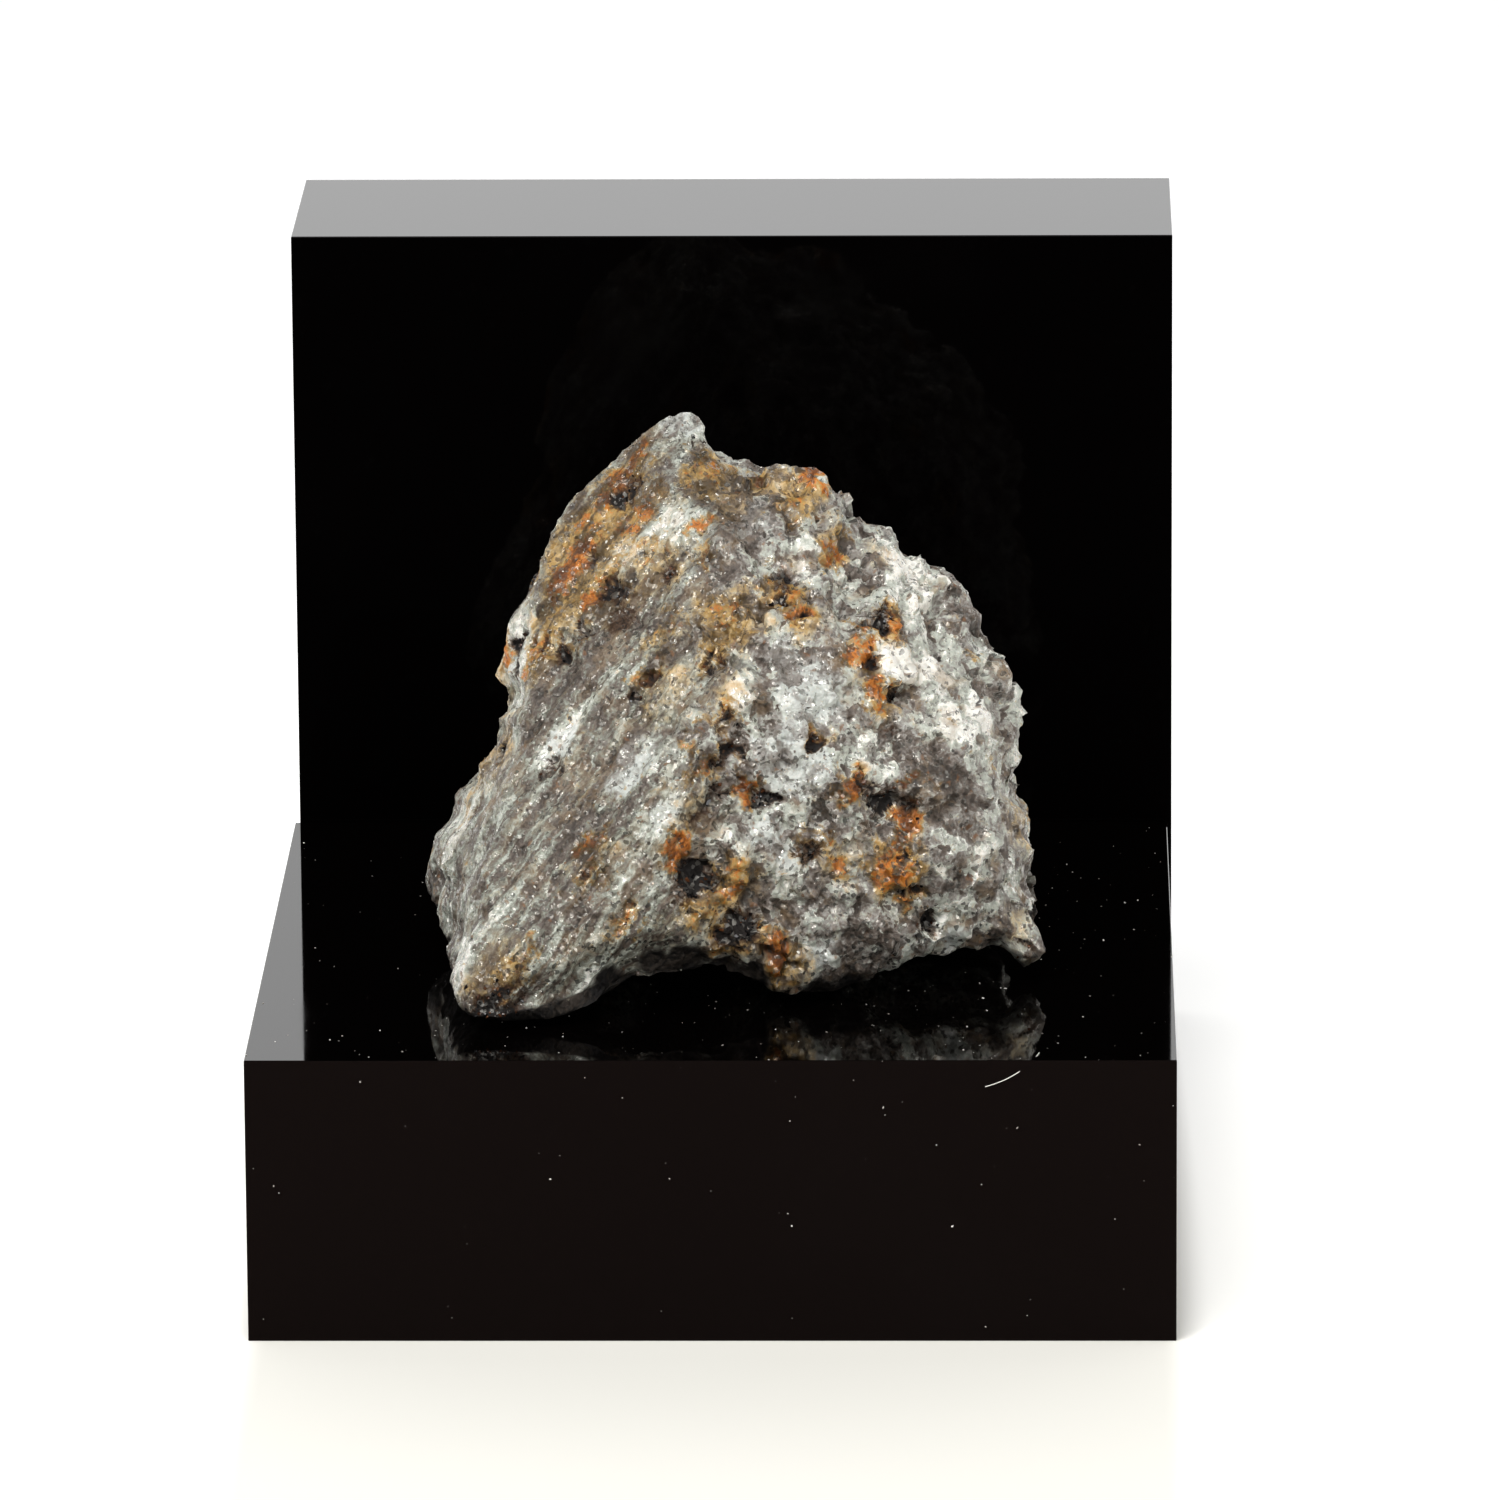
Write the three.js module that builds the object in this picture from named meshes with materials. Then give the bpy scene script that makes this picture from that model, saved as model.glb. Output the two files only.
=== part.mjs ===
// A hand-sized mica specimen on its display stand: a rough, foliated lump of mica rock that
// rests on a black acrylic block, with a second block of the same size upright behind it.
// Millimetres, +Z up, +Y away from the viewer. The origin is the middle of the stand's footprint,
// on the surface that the stand rests on.
import * as THREE from "three";
import { ConvexHull } from "three/addons/math/ConvexHull.js";
import { mergeVertices } from "three/addons/utils/BufferGeometryUtils.js";

// The acrylic blocks
const BLOCK_SIDE = 50;
const BLOCK_THICKNESS = 15.7;
const EDGE_BREAK = 0.25; // the polished chamfer along every edge
const BLOCK_GAP = 0.3; // between the lying block and the upright one
const BACK_SHIFT = 0.26; // the upright block stands a little to the right

// The rock rests on three feet. They are drawn a little below the block's top and cut off just
// above it, so that each has a small flat to stand on.
const REST_GAP = 0.02;
const FOOT_DROP = -0.45;
const ROCK_DETAIL = 19; // steps along each edge of the icosahedron that the surface grows from

// Places on the rock are in mm right of, behind and above the middle of the lying block's top.
// The rock's surface is found along rays that leave this point, well inside it.
const HEART = new THREE.Vector3(-0.5, -5, 10);

// The planes blend where they meet, so that the edges are worn; a higher number is a sharper edge.
const EDGE_SHARPNESS = 110;

// The rock broke along flat planes, so its main form is the hull of its corners.
const CORNERS = [
  // summit, a narrow horn
  [-4.2, -1.6, 30.0],
  [-2.0, -0.8, 30.7],
  [-2.2, 2.6, 28.6],
  // left-hand edge, from the summit down to the corner
  [-6.3, -2.9, 27.8],
  [-8.9, -3.6, 25.5],
  [-10.0, -4.2, 22.2],
  [-11.7, -4.0, 19.6],
  [-12.1, -2.6, 16.0],
  [-15.3, -0.4, 7.5],
  [-16.8, 0.4, 3.2],
  [-16.0, 0.2, 1.7],
  // left-hand foot
  [-14.4, -12.6, 1.8],
  [-13.7, -20.2, 1.2],
  [-12.7, -20.4, 0.5],
  // right-hand edge, from the shoulder down to the corner
  [1.0, -1.6, 27.9],
  [5.8, -3.0, 27.3],
  [9.0, -2.6, 22.6],
  [13.0, -1.8, 21.8],
  [14.8, -2.6, 19.6],
  [15.7, -3.2, 16.6],
  [16.8, -4.4, 13.2],
  [17.0, -6.0, 9.6],
  [17.4, -8.0, 5.4],
  [18.6, -10.2, 2.6],
  [18.2, -10.4, 1.2],
  // the ridge down the front, from the summit to the foot at the middle
  [0.4, -6.2, 26.0],
  [1.8, -11.0, 21.9],
  [1.2, -14.5, 17.2],
  [-1.2, -16.9, 10.7],
  [-3.2, -18.0, 3.2],
  [3.5, -12.0, FOOT_DROP],
  // front, right of the ridge
  [9.9, -10.0, 19.2],
  [8.0, -13.2, 14.6],
  [14.4, -10.6, 12.7],
  [9.0, -14.6, 10.2],
  [15.2, -12.2, 5.0],
  [8.6, -13.8, 3.2],
  // the two feet at the back
  [-12.2, 5.0, FOOT_DROP],
  [-8.0, 6.8, FOOT_DROP],
  [13.6, 4.4, FOOT_DROP],
  [10.0, 7.0, FOOT_DROP],
  // back, two broad breaks that meet in a ridge
  [-13.8, 4.4, 6.0],
  [-10.2, 4.2, 15.6],
  [-3.2, 4.8, 26.2],
  [3.6, 8.8, 20.6],
  [4.8, 11.8, 7.0],
  [3.2, 11.6, 1.0],
  [12.2, 4.4, 17.4],
  [16.2, 4.4, 8.0],
];

// Hollows where grains and flakes have fallen out: place, radius and depth.
const HOLLOWS = [
  { at: [1.6, -2.2, 29.0], radius: 2.9, depth: 2.1 }, // notch right of the summit
  { at: [-13.6, -2.0, 12.6], radius: 4.6, depth: 2.8 }, // notch in the left-hand edge
  { at: [17.6, -6.0, 9.4], radius: 2.8, depth: 0.9 },
  { at: [-2.8, -11.0, 0], radius: 9.0, depth: 6.6 }, // vault left of the middle foot
  { at: [12.8, -9.0, 0], radius: 7.4, depth: 4.0 }, // vault right of it
  { at: [0.8, 0.6, 0], radius: 10.5, depth: 3.4 }, // vault between the back feet
  { at: [7.2, -11.2, 21.4], radius: 1.9, depth: 1.0 },
  { at: [11.8, -9.2, 18.2], radius: 1.6, depth: 0.9 },
  { at: [-0.6, -16.6, 8.4], radius: 2.2, depth: 1.1 },
  { at: [10.4, -14.2, 10.6], radius: 2.2, depth: 1.2 },
  { at: [2.2, -15.2, 6.6], radius: 2.0, depth: 1.0 },
  { at: [-8.4, -5.6, 24.0], radius: 1.8, depth: 0.7 },
];

// Lumps that stand proud of the planes.
const LUMPS = [
  { at: [15.0, -2.4, 20.4], radius: 2.4, height: 0.5 },
  { at: [17.4, -4.0, 12.6], radius: 2.4, height: 0.4 },
  { at: [5.2, -14.4, 13.6], radius: 3.6, height: 0.9 }, // the pale patch
  { at: [14.0, -12.0, 8.8], radius: 3.2, height: 0.7 },
  { at: [7.6, -3.2, 27.0], radius: 1.6, height: 0.6 },
];

// The mica layers lie across this direction, so their edges show as ledges left of the ridge.
const LAYERS = {
  normal: new THREE.Vector3(-0.82, 0.23, 0.52).normalize(),
  step: 2.3,
  ledge: 0.42,
  rise: 0.78, // the share of each layer over which its ledge slowly rises
  wander: 0.9,
  wanderSize: 5,
};

// Right of the ridge the rock broke into blocks, coarse ones and fine ones on them.
const BLOCKS = [
  { size: 4.6, height: 1.0, seed: 21 },
  { size: 2.1, height: 0.5, seed: 51 },
];
const BLOCKS_AMONG_LAYERS = 0.35; // how much of the blocks' relief is left among the layers
const LEDGES_AMONG_BLOCKS = 0.4;

// The layers give way to the blocks over this width, along a border that wavers.
const BORDER = { halfWidth: 3, waver: 1.5, waverSize: 4 };

// Broad swells and a fine roughness lie over all of it.
const SWELL = { size: 6, height: 0.4, seed: 41 };
const ROUGHNESS = { size: 1.5, height: 0.22, seed: 43 };

// The relief stands out from the hull by this much on average, so it is set in by as much.
const RELIEF_INSET = 0.3;

// The underside is worn where it rests: the least share of relief there, and the height above the
// block at which the relief is whole again.
const WORN_RELIEF = 0.25;
const WORN_HEIGHT = 2.5;

// A repeatable number from 0 to 1 for each cell of a grid.
function cellNumber(ix, iy, iz, seed) {
  let h = Math.imul(ix, 374761393) ^ Math.imul(iy, 668265263) ^ Math.imul(iz, 2147483647);
  h = Math.imul(h ^ (h >>> 13) ^ Math.imul(seed, 974634777), 1274126177);
  h ^= h >>> 16;
  return (h >>> 0) / 4294967295;
}

// Smooth noise from -1 to 1, with one swell per size.
function noise(point, { size, seed }) {
  const scaled = [point.x / size, point.y / size, point.z / size];
  const [ix, iy, iz] = scaled.map(Math.floor);
  const [fx, fy, fz] = scaled.map((v) => v - Math.floor(v)).map((f) => f * f * (3 - 2 * f));
  const corner = (dx, dy, dz) => cellNumber(ix + dx, iy + dy, iz + dz, seed);
  const edge = (dy, dz) => THREE.MathUtils.lerp(corner(0, dy, dz), corner(1, dy, dz), fx);
  const face = (dz) => THREE.MathUtils.lerp(edge(0, dz), edge(1, dz), fy);
  return 2 * THREE.MathUtils.lerp(face(0), face(1), fz) - 1;
}

// A block broke off flat, so each has a face of its own height and tilt. The block that holds a
// point is the one whose middle is nearest. The answer is from about -1 to 1.
function blockFace(point, { size, seed }) {
  const [x, y, z] = [point.x / size, point.y / size, point.z / size];
  const [ix, iy, iz] = [x, y, z].map(Math.floor);
  const nearby = [-1, 0, 1];
  let nearest = Infinity;
  let height = 0;
  for (const a of nearby.map((step) => ix + step)) {
    for (const b of nearby.map((step) => iy + step)) {
      for (const c of nearby.map((step) => iz + step)) {
        const random = (k) => cellNumber(a, b, c, seed + k);
        const [dx, dy, dz] = [x - a - random(0), y - b - random(1), z - c - random(2)];
        const distance = dx * dx + dy * dy + dz * dz;
        if (distance >= nearest) continue;
        nearest = distance;
        const [tiltX, tiltY, tiltZ] = [3, 4, 5].map((k) => 2 * random(k) - 1);
        height = tiltX * dx + tiltY * dy + tiltZ * dz + 0.5 * (random(6) - 0.5);
      }
    }
  }
  return height;
}

function planesOf(corners) {
  const hull = new ConvexHull().setFromPoints(corners.map((c) => new THREE.Vector3(...c)));
  return hull.faces.map((face) => ({ normal: face.normal.clone(), constant: face.constant }));
}

// How far a ray from the heart travels before it leaves the hull: a blend of its distances to the
// planes that it meets, in which the nearest counts for nearly all.
function reachOf(planes, direction) {
  const reaches = planes
    .filter(({ normal }) => normal.dot(direction) > 0)
    .map(({ normal, constant }) => (constant - normal.dot(HEART)) / normal.dot(direction));
  const nearest = Math.min(...reaches);
  const sum = reaches.reduce((total, reach) => total + (nearest / reach) ** EDGE_SHARPNESS, 0);
  return nearest * sum ** (-1 / EDGE_SHARPNESS);
}

function spotHeight(point, spots, size) {
  let height = 0;
  for (const spot of spots) {
    const near = 1 - point.distanceTo(spot.centre) / spot.radius;
    if (near > 0) height += spot[size] * near * near * (3 - 2 * near);
  }
  return height;
}

// Height of the mica layers' ledges: a slow rise over each layer and a quick drop at its edge.
function ledgeHeight(point) {
  const wander = LAYERS.wander * noise(point, { size: LAYERS.wanderSize, seed: 11 });
  const layer = (point.dot(LAYERS.normal) + wander) / LAYERS.step;
  const along = layer - Math.floor(layer);
  return LAYERS.ledge * (Math.min(along / LAYERS.rise, (1 - along) / (1 - LAYERS.rise)) - 0.5);
}

// Height of the whole relief at a point of the hull.
function reliefHeight(point) {
  const { lerp, smoothstep } = THREE.MathUtils;
  const waver = BORDER.waver * noise(point, { size: BORDER.waverSize, seed: 5 });
  const broken = smoothstep(point.x + waver, -BORDER.halfWidth, BORDER.halfWidth);
  const blocks = BLOCKS.reduce((sum, layer) => sum + layer.height * blockFace(point, layer), 0);
  const relief =
    lerp(1, LEDGES_AMONG_BLOCKS, broken) * ledgeHeight(point) +
    lerp(BLOCKS_AMONG_LAYERS, 1, broken) * blocks +
    SWELL.height * noise(point, SWELL) +
    ROUGHNESS.height * noise(point, ROUGHNESS);
  const free = smoothstep(point.z, 0, WORN_HEIGHT);
  return lerp(WORN_RELIEF, 1, free) * (relief - RELIEF_INSET);
}

function rockGeometry() {
  const planes = planesOf(CORNERS);
  const place = (spot) => ({ ...spot, centre: new THREE.Vector3(...spot.at) });
  const hollows = HOLLOWS.map(place);
  const lumps = LUMPS.map(place);
  const geometry = new THREE.IcosahedronGeometry(1, ROCK_DETAIL);
  geometry.deleteAttribute("normal");
  geometry.deleteAttribute("uv");
  const surface = mergeVertices(geometry, 1e-4);
  const positions = surface.getAttribute("position");
  const direction = new THREE.Vector3();
  const point = new THREE.Vector3();
  for (let i = 0; i < positions.count; i++) {
    direction.fromBufferAttribute(positions, i).normalize();
    point.copy(HEART).addScaledVector(direction, reachOf(planes, direction));
    const height =
      reliefHeight(point) +
      spotHeight(point, lumps, "height") -
      spotHeight(point, hollows, "depth");
    point.addScaledVector(direction, height);
    point.z = Math.max(point.z, REST_GAP);
    positions.setXYZ(i, point.x, point.y, point.z);
  }
  return surface;
}

// A block with a small chamfer on every edge, standing on z = 0.
function blockGeometry(width, depth, height) {
  const x = width / 2 - EDGE_BREAK;
  const y = depth / 2 - EDGE_BREAK;
  const [inX, inY] = [x - EDGE_BREAK, y - EDGE_BREAK];
  const octagon = [[inX, -y], [x, -inY], [x, inY], [inX, y], [-inX, y], [-x, inY], [-x, -inY], [-inX, -y]];
  const outline = new THREE.Shape(octagon.map(([px, py]) => new THREE.Vector2(px, py)));
  const geometry = new THREE.ExtrudeGeometry(outline, {
    depth: height - 2 * EDGE_BREAK,
    bevelEnabled: true,
    bevelThickness: EDGE_BREAK,
    bevelSize: EDGE_BREAK,
    bevelSegments: 1,
  });
  return geometry.translate(0, 0, EDGE_BREAK);
}

const acrylic = new THREE.MeshStandardMaterial({ color: 0x060505, roughness: 0.06, metalness: 0 });
const micaRock = new THREE.MeshStandardMaterial({ color: 0x9a9488, roughness: 0.6, metalness: 0 });

const baseBlock = new THREE.Mesh(blockGeometry(BLOCK_SIDE, BLOCK_SIDE, BLOCK_THICKNESS), acrylic);
baseBlock.name = "base_block";

const backBlock = new THREE.Mesh(
  blockGeometry(BLOCK_SIDE, BLOCK_THICKNESS, BLOCK_SIDE),
  acrylic.clone(),
);
backBlock.name = "back_block";

const rock = new THREE.Mesh(rockGeometry(), micaRock);
rock.name = "mica_rock";

const standDepth = BLOCK_SIDE + BLOCK_GAP + BLOCK_THICKNESS;
baseBlock.position.set(-BACK_SHIFT / 2, (BLOCK_SIDE - standDepth) / 2, 0);
backBlock.position.set(BACK_SHIFT / 2, (standDepth - BLOCK_THICKNESS) / 2, 0);
rock.position.copy(baseBlock.position).add(new THREE.Vector3(0, 0, BLOCK_THICKNESS));

const specimen = new THREE.Group();
specimen.name = "mica_specimen_on_stand";
specimen.add(baseBlock, backBlock, rock);

export default specimen;
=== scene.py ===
"""A mica specimen on its black acrylic stand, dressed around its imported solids.

The rock starts as a copy of its solid, which is subdivided and broken up by a relief of layers,
grains and pits. Loose grains, mica flakes and dark crystals are scattered over it. The two acrylic
blocks keep their solids' shape and get a polished, slightly dusty finish.
"""
import math

import bpy
import numpy as np
from mathutils import Matrix, Vector, noise
from mathutils.bvhtree import BVHTree


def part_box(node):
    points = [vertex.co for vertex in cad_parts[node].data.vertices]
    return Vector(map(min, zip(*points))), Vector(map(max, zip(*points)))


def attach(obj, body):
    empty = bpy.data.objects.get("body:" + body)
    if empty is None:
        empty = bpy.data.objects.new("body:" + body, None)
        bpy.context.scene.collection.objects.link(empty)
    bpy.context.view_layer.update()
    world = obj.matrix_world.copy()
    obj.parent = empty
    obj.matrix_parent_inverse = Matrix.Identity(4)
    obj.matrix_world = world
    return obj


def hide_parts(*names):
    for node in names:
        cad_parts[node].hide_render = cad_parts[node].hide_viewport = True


bl_info = {
    "name": "Mica specimen",
    "version": (1, 0, 0),
    "blender": (4, 5, 0),
    "location": "3D View > Sidebar > Specimen",
    "description": "Builds a mica specimen on a black acrylic stand",
    "category": "Object",
}

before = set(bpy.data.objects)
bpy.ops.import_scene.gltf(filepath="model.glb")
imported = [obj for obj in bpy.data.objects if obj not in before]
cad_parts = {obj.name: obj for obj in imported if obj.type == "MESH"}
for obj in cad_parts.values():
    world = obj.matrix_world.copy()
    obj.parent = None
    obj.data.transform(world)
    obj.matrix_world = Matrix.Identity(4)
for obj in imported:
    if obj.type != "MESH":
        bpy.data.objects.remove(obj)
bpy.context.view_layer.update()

MM = 0.001

# The middle of the lying block's top, which the rock's own places are counted from.
BASE_LOW, BASE_HIGH = (Vector(corner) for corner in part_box("base_block"))
ROCK_ORIGIN = Vector(((BASE_LOW.x + BASE_HIGH.x) / 2, (BASE_LOW.y + BASE_HIGH.y) / 2, BASE_HIGH.z))
REST_GAP = 0.02 * MM

# The point that the camera aims at, and the floor's width in metres
CAMERA_AIM = ROCK_ORIGIN + Vector((1.696, 0.0, 10.72)) * MM
FLOOR_SIZE = 6.0

# The lights: name, place and width in metres, and the setting that holds the power
LIGHT_AIM = ROCK_ORIGIN + Vector((0, 0, 12 * MM))
LIGHTS = (
    ("key_softbox", (-0.09, -0.24, 0.42), 0.40, "key_power"),
    ("fill_softbox", (0.30, -0.42, 0.22), 0.30, "fill_power"),
    ("spark_light", (-0.20, -0.36, 0.36), 0.04, "spark_power"),
)

# Seeds of the spots' ragged edges, and of the spots on the side that the picture doesn't show
RAGGED_SEED = 5
HIDDEN_SIDE_SEED = 11

# How far a spot reaches, in its own radii
SPOT_REACH = 1.6

# Colours of small places, which aren't settings
BLACK = (0.0, 0.0, 0.0)
DARKEST_ROCK = (0.060, 0.048, 0.038)
DEEP_RUST = (0.10, 0.030, 0.009)
PIT_BROWN = (0.070, 0.034, 0.016)
PIT_BLACK = (0.008, 0.007, 0.007)
FLECK_BROWN = (0.22, 0.10, 0.035)
FLECK_BLACK = (0.030, 0.022, 0.018)
# The painted shade under the rock: its colour where the rock is dark, and where it is pale
PAINTED_SHADE_DARK = (0.004, 0.003, 0.003)
PAINTED_SHADE_LIGHT = (0.040, 0.028, 0.020)
CRYSTAL_BLACK = (0.006, 0.005, 0.006)
CRYSTAL_BROWN = (0.12, 0.045, 0.015)
SMEAR_GREY = (0.5, 0.47, 0.45)
DUST_DARK = (0.30, 0.27, 0.24)
DUST_LIGHT = (0.85, 0.84, 0.80)
FLOOR_CREAM = (0.88, 0.85, 0.78)
FLOOR_WHITE = (0.98, 0.98, 0.98)
FLOOR_GLOW = (0.38, 0.38, 0.38)

# The mica layers: their streaks run along the first direction, and they lie across the second.
STREAKS_ALONG = Vector((0.570, 0.308, 0.761)).normalized()
LAYERS_ACROSS = Vector((-0.82, 0.23, 0.52)).normalized()
STREAKS_THIRD = STREAKS_ALONG.cross(LAYERS_ACROSS).normalized()

# Places on the rock's front are in mm right of and above the middle of the picture, in the plane
# that the camera aims at; a line of sight then finds the surface. Each spot is
# (right, up, radius, strength).
DARK_SPOTS = (
    # Along the top and the upper left
    (-2.9, 17.0, 0.35, 0.9), (-7.0, 14.1, 0.6, 1.0), (-8.7, 10.5, 0.35, 0.9),
    (-2.5, 10.8, 0.45, 0.6), (-4.6, 10.1, 0.6, 0.6), (-7.6, 8.9, 0.6, 0.8),
    (-6.9, 7.6, 0.8, 0.55), (-10.4, 5.3, 0.5, 1.0), (-10.2, 5.9, 0.35, 0.9),
    (-11.5, 5.9, 0.35, 0.6), (0.2, 15.2, 0.35, 0.6),
    # The column of rusty crystals right of the ridge
    (2.0, 9.5, 0.75, 0.9), (1.7, 8.5, 0.55, 0.9), (2.9, 7.3, 0.45, 0.8),
    (4.6, 10.5, 0.35, 0.7), (7.2, 7.5, 0.75, 1.0), (7.5, 6.6, 0.5, 0.9),
    (6.5, 5.0, 0.5, 0.9), (7.9, 3.0, 0.5, 0.8), (-2.2, 4.8, 0.5, 0.8),
    (-5.6, 3.9, 0.35, 0.7), (-6.0, 2.8, 0.35, 0.8), (-4.9, 1.9, 0.2, 1.0),
    (-1.5, 1.7, 0.6, 0.55),
    # The middle
    (-1.2, 0.0, 0.55, 0.9), (-0.5, 0.5, 0.35, 0.9), (-1.7, -0.7, 0.3, 0.8),
    (3.7, 0.5, 0.5, 1.0), (0.9, -2.7, 0.55, 1.1), (-1.8, -2.3, 0.5, 0.9),
    (-2.6, -3.4, 0.5, 0.6), (-3.1, -7.3, 0.9, 1.1), (-2.3, -7.0, 0.5, 1.0),
    (-3.6, -7.6, 0.5, 0.9), (-0.3, -9.8, 1.1, 1.1), (3.3, -5.8, 0.7, 0.65),
    # The right
    (6.5, -1.9, 0.5, 0.8), (7.5, -2.9, 0.8, 1.2), (8.3, -3.3, 0.5, 0.8),
    (8.8, -6.0, 0.35, 0.9), (9.0, -7.7, 0.45, 0.9), (9.9, -9.8, 0.5, 1.0),
    (14.9, -10.6, 0.4, 0.8), (13.3, -0.2, 0.5, 0.6), (7.8, 0.9, 0.5, 0.45),
    (6.3, -9.6, 0.4, 0.5),
    # The lower left
    (-10.9, -0.9, 0.6, 0.6), (-8.9, -6.9, 0.4, 0.55), (-6.8, -9.6, 0.35, 0.6),
    (-16.3, -7.5, 0.5, 0.55), (-13.1, -12.8, 0.8, 0.5), (-14.8, -14.5, 0.9, 1.0),
    (-13.6, -14.7, 0.8, 0.9),
)
RUST_STAINS = (
    # Upper left band
    (-8.8, 11.6, 2.4, 0.5), (-7.4, 14.2, 1.8, 0.5), (-9.6, 8.2, 1.8, 0.4),
    (-6.3, 16.4, 0.8, 1.0), (-6.9, 15.4, 0.9, 1.1), (-7.7, 14.3, 1.2, 0.9),
    (-6.2, 13.1, 1.2, 0.9), (-8.7, 12.7, 1.2, 0.8), (-9.7, 11.4, 1.0, 0.8),
    (-9.8, 10.2, 1.1, 1.3), (-10.4, 8.9, 0.8, 0.9), (-8.5, 8.4, 0.7, 1.3),
    (-7.9, 9.0, 0.8, 0.9), (-11.6, 5.7, 0.9, 0.8), (-12.5, 3.9, 0.5, 1.0),
    (-12.3, 4.8, 0.4, 0.8),
    # Along the top
    (-2.4, 15.4, 1.2, 0.7), (-0.9, 15.3, 0.8, 0.7), (0.4, 15.0, 0.7, 1.0),
    (3.2, 15.1, 0.8, 1.6), (3.7, 14.4, 0.6, 1.5), (2.5, 13.6, 1.0, 0.8),
    (-2.7, 12.4, 0.5, 1.1), (-2.5, 10.8, 0.7, 0.8), (-5.6, 11.0, 0.6, 0.6),
    (4.9, 11.7, 0.8, 0.7), (4.5, 10.6, 0.7, 1.3),
    # The column right of the ridge
    (1.9, 8.9, 1.3, 0.8), (2.8, 7.6, 0.8, 1.1), (7.7, 7.2, 1.1, 1.1),
    (5.9, 6.7, 0.5, 1.3), (6.1, 5.3, 0.8, 1.3), (7.2, 3.2, 0.8, 1.3),
    (6.9, 2.3, 0.5, 0.9), (12.3, 5.2, 0.4, 1.0), (-1.6, 7.4, 1.5, 0.65),
    (-0.6, 8.0, 0.8, 0.7), (-2.2, 4.9, 0.7, 0.8), (-5.8, 3.9, 0.6, 0.9),
    (-4.6, 7.0, 0.9, 0.5),
    # The middle
    (-1.5, 1.8, 0.9, 0.7), (-2.5, -0.9, 0.7, 0.9), (-1.6, -0.2, 0.7, 0.8),
    (-3.4, 0.3, 0.6, 0.7), (3.7, 0.7, 0.6, 1.0), (-0.2, -2.1, 0.7, 1.4),
    (-4.0, -5.7, 0.8, 1.3), (-4.4, -4.9, 0.4, 0.9), (-0.9, -6.9, 1.1, 0.85),
    (-2.4, -8.3, 1.1, 0.6), (-0.6, -10.0, 1.2, 0.9), (1.3, -10.4, 0.7, 1.3),
    (1.5, -11.2, 0.8, 1.4), (1.7, -12.2, 0.6, 0.6), (-2.0, -11.3, 0.8, 0.7),
    # The right
    (5.8, -1.9, 0.8, 1.2), (8.9, -1.6, 0.5, 1.3), (8.7, -3.9, 0.8, 1.4),
    (8.3, -4.9, 0.5, 1.1), (7.8, -6.5, 1.3, 1.1), (8.8, -8.0, 0.8, 0.8),
    (4.9, -6.5, 0.6, 1.1), (4.6, -5.0, 0.5, 0.8), (3.3, -5.6, 0.9, 0.6),
    (13.4, -0.6, 0.7, 0.6), (15.2, -3.4, 0.8, 0.6),
    # The lower left
    (-8.4, -4.8, 0.6, 1.1), (-9.3, -5.2, 0.5, 1.0), (-8.9, -6.8, 0.7, 0.8),
    (-6.9, -9.6, 0.8, 0.9), (-6.4, -2.1, 0.4, 0.8), (-12.2, -10.6, 0.5, 0.8),
    (-9.3, -2.9, 0.5, 0.5), (-13.2, -12.7, 1.0, 0.7),
)
OCHRE_WASHES = (
    (-8.8, 11.9, 2.3, 1.0), (-6.9, 15.2, 1.3, 0.9), (-10.2, 8.4, 1.8, 1.0),
    (-11.8, 5.0, 1.2, 0.8), (-7.2, 9.0, 1.6, 0.6), (-4.6, 9.9, 1.5, 0.6),
    (-2.2, 15.2, 1.6, 0.9), (-0.8, 13.9, 1.4, 0.6), (0.6, 14.9, 1.2, 0.9),
    (3.0, 14.0, 1.3, 1.0), (4.7, 11.3, 1.1, 0.9), (7.0, 11.0, 0.9, 0.6),
    (1.9, 8.7, 1.3, 0.8), (3.0, 7.3, 1.0, 0.8), (-1.2, 7.5, 2.0, 0.9),
    (-3.9, 5.9, 1.8, 0.5), (-4.9, 2.6, 1.5, 0.5), (-1.4, 3.6, 1.2, 0.6),
    (7.6, 7.0, 1.2, 0.9), (6.6, 4.6, 1.0, 0.7), (7.2, 2.6, 0.9, 0.8),
    (3.8, 0.7, 0.8, 0.7), (-3.2, -3.4, 1.2, 0.5), (-0.9, -7.3, 1.6, 0.8),
    (-3.0, -8.7, 1.4, 0.55), (-0.4, -10.3, 1.8, 0.75), (1.9, -11.6, 1.3, 0.9),
    (8.2, -6.6, 1.7, 0.9), (4.7, -6.2, 1.3, 0.6), (6.2, -1.8, 0.9, 0.8),
    (14.8, -4.2, 1.5, 0.6), (14.6, -9.8, 1.3, 0.5), (-9.0, -5.8, 1.3, 0.5),
    (-14.2, -12.8, 1.6, 0.7),
)
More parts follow.
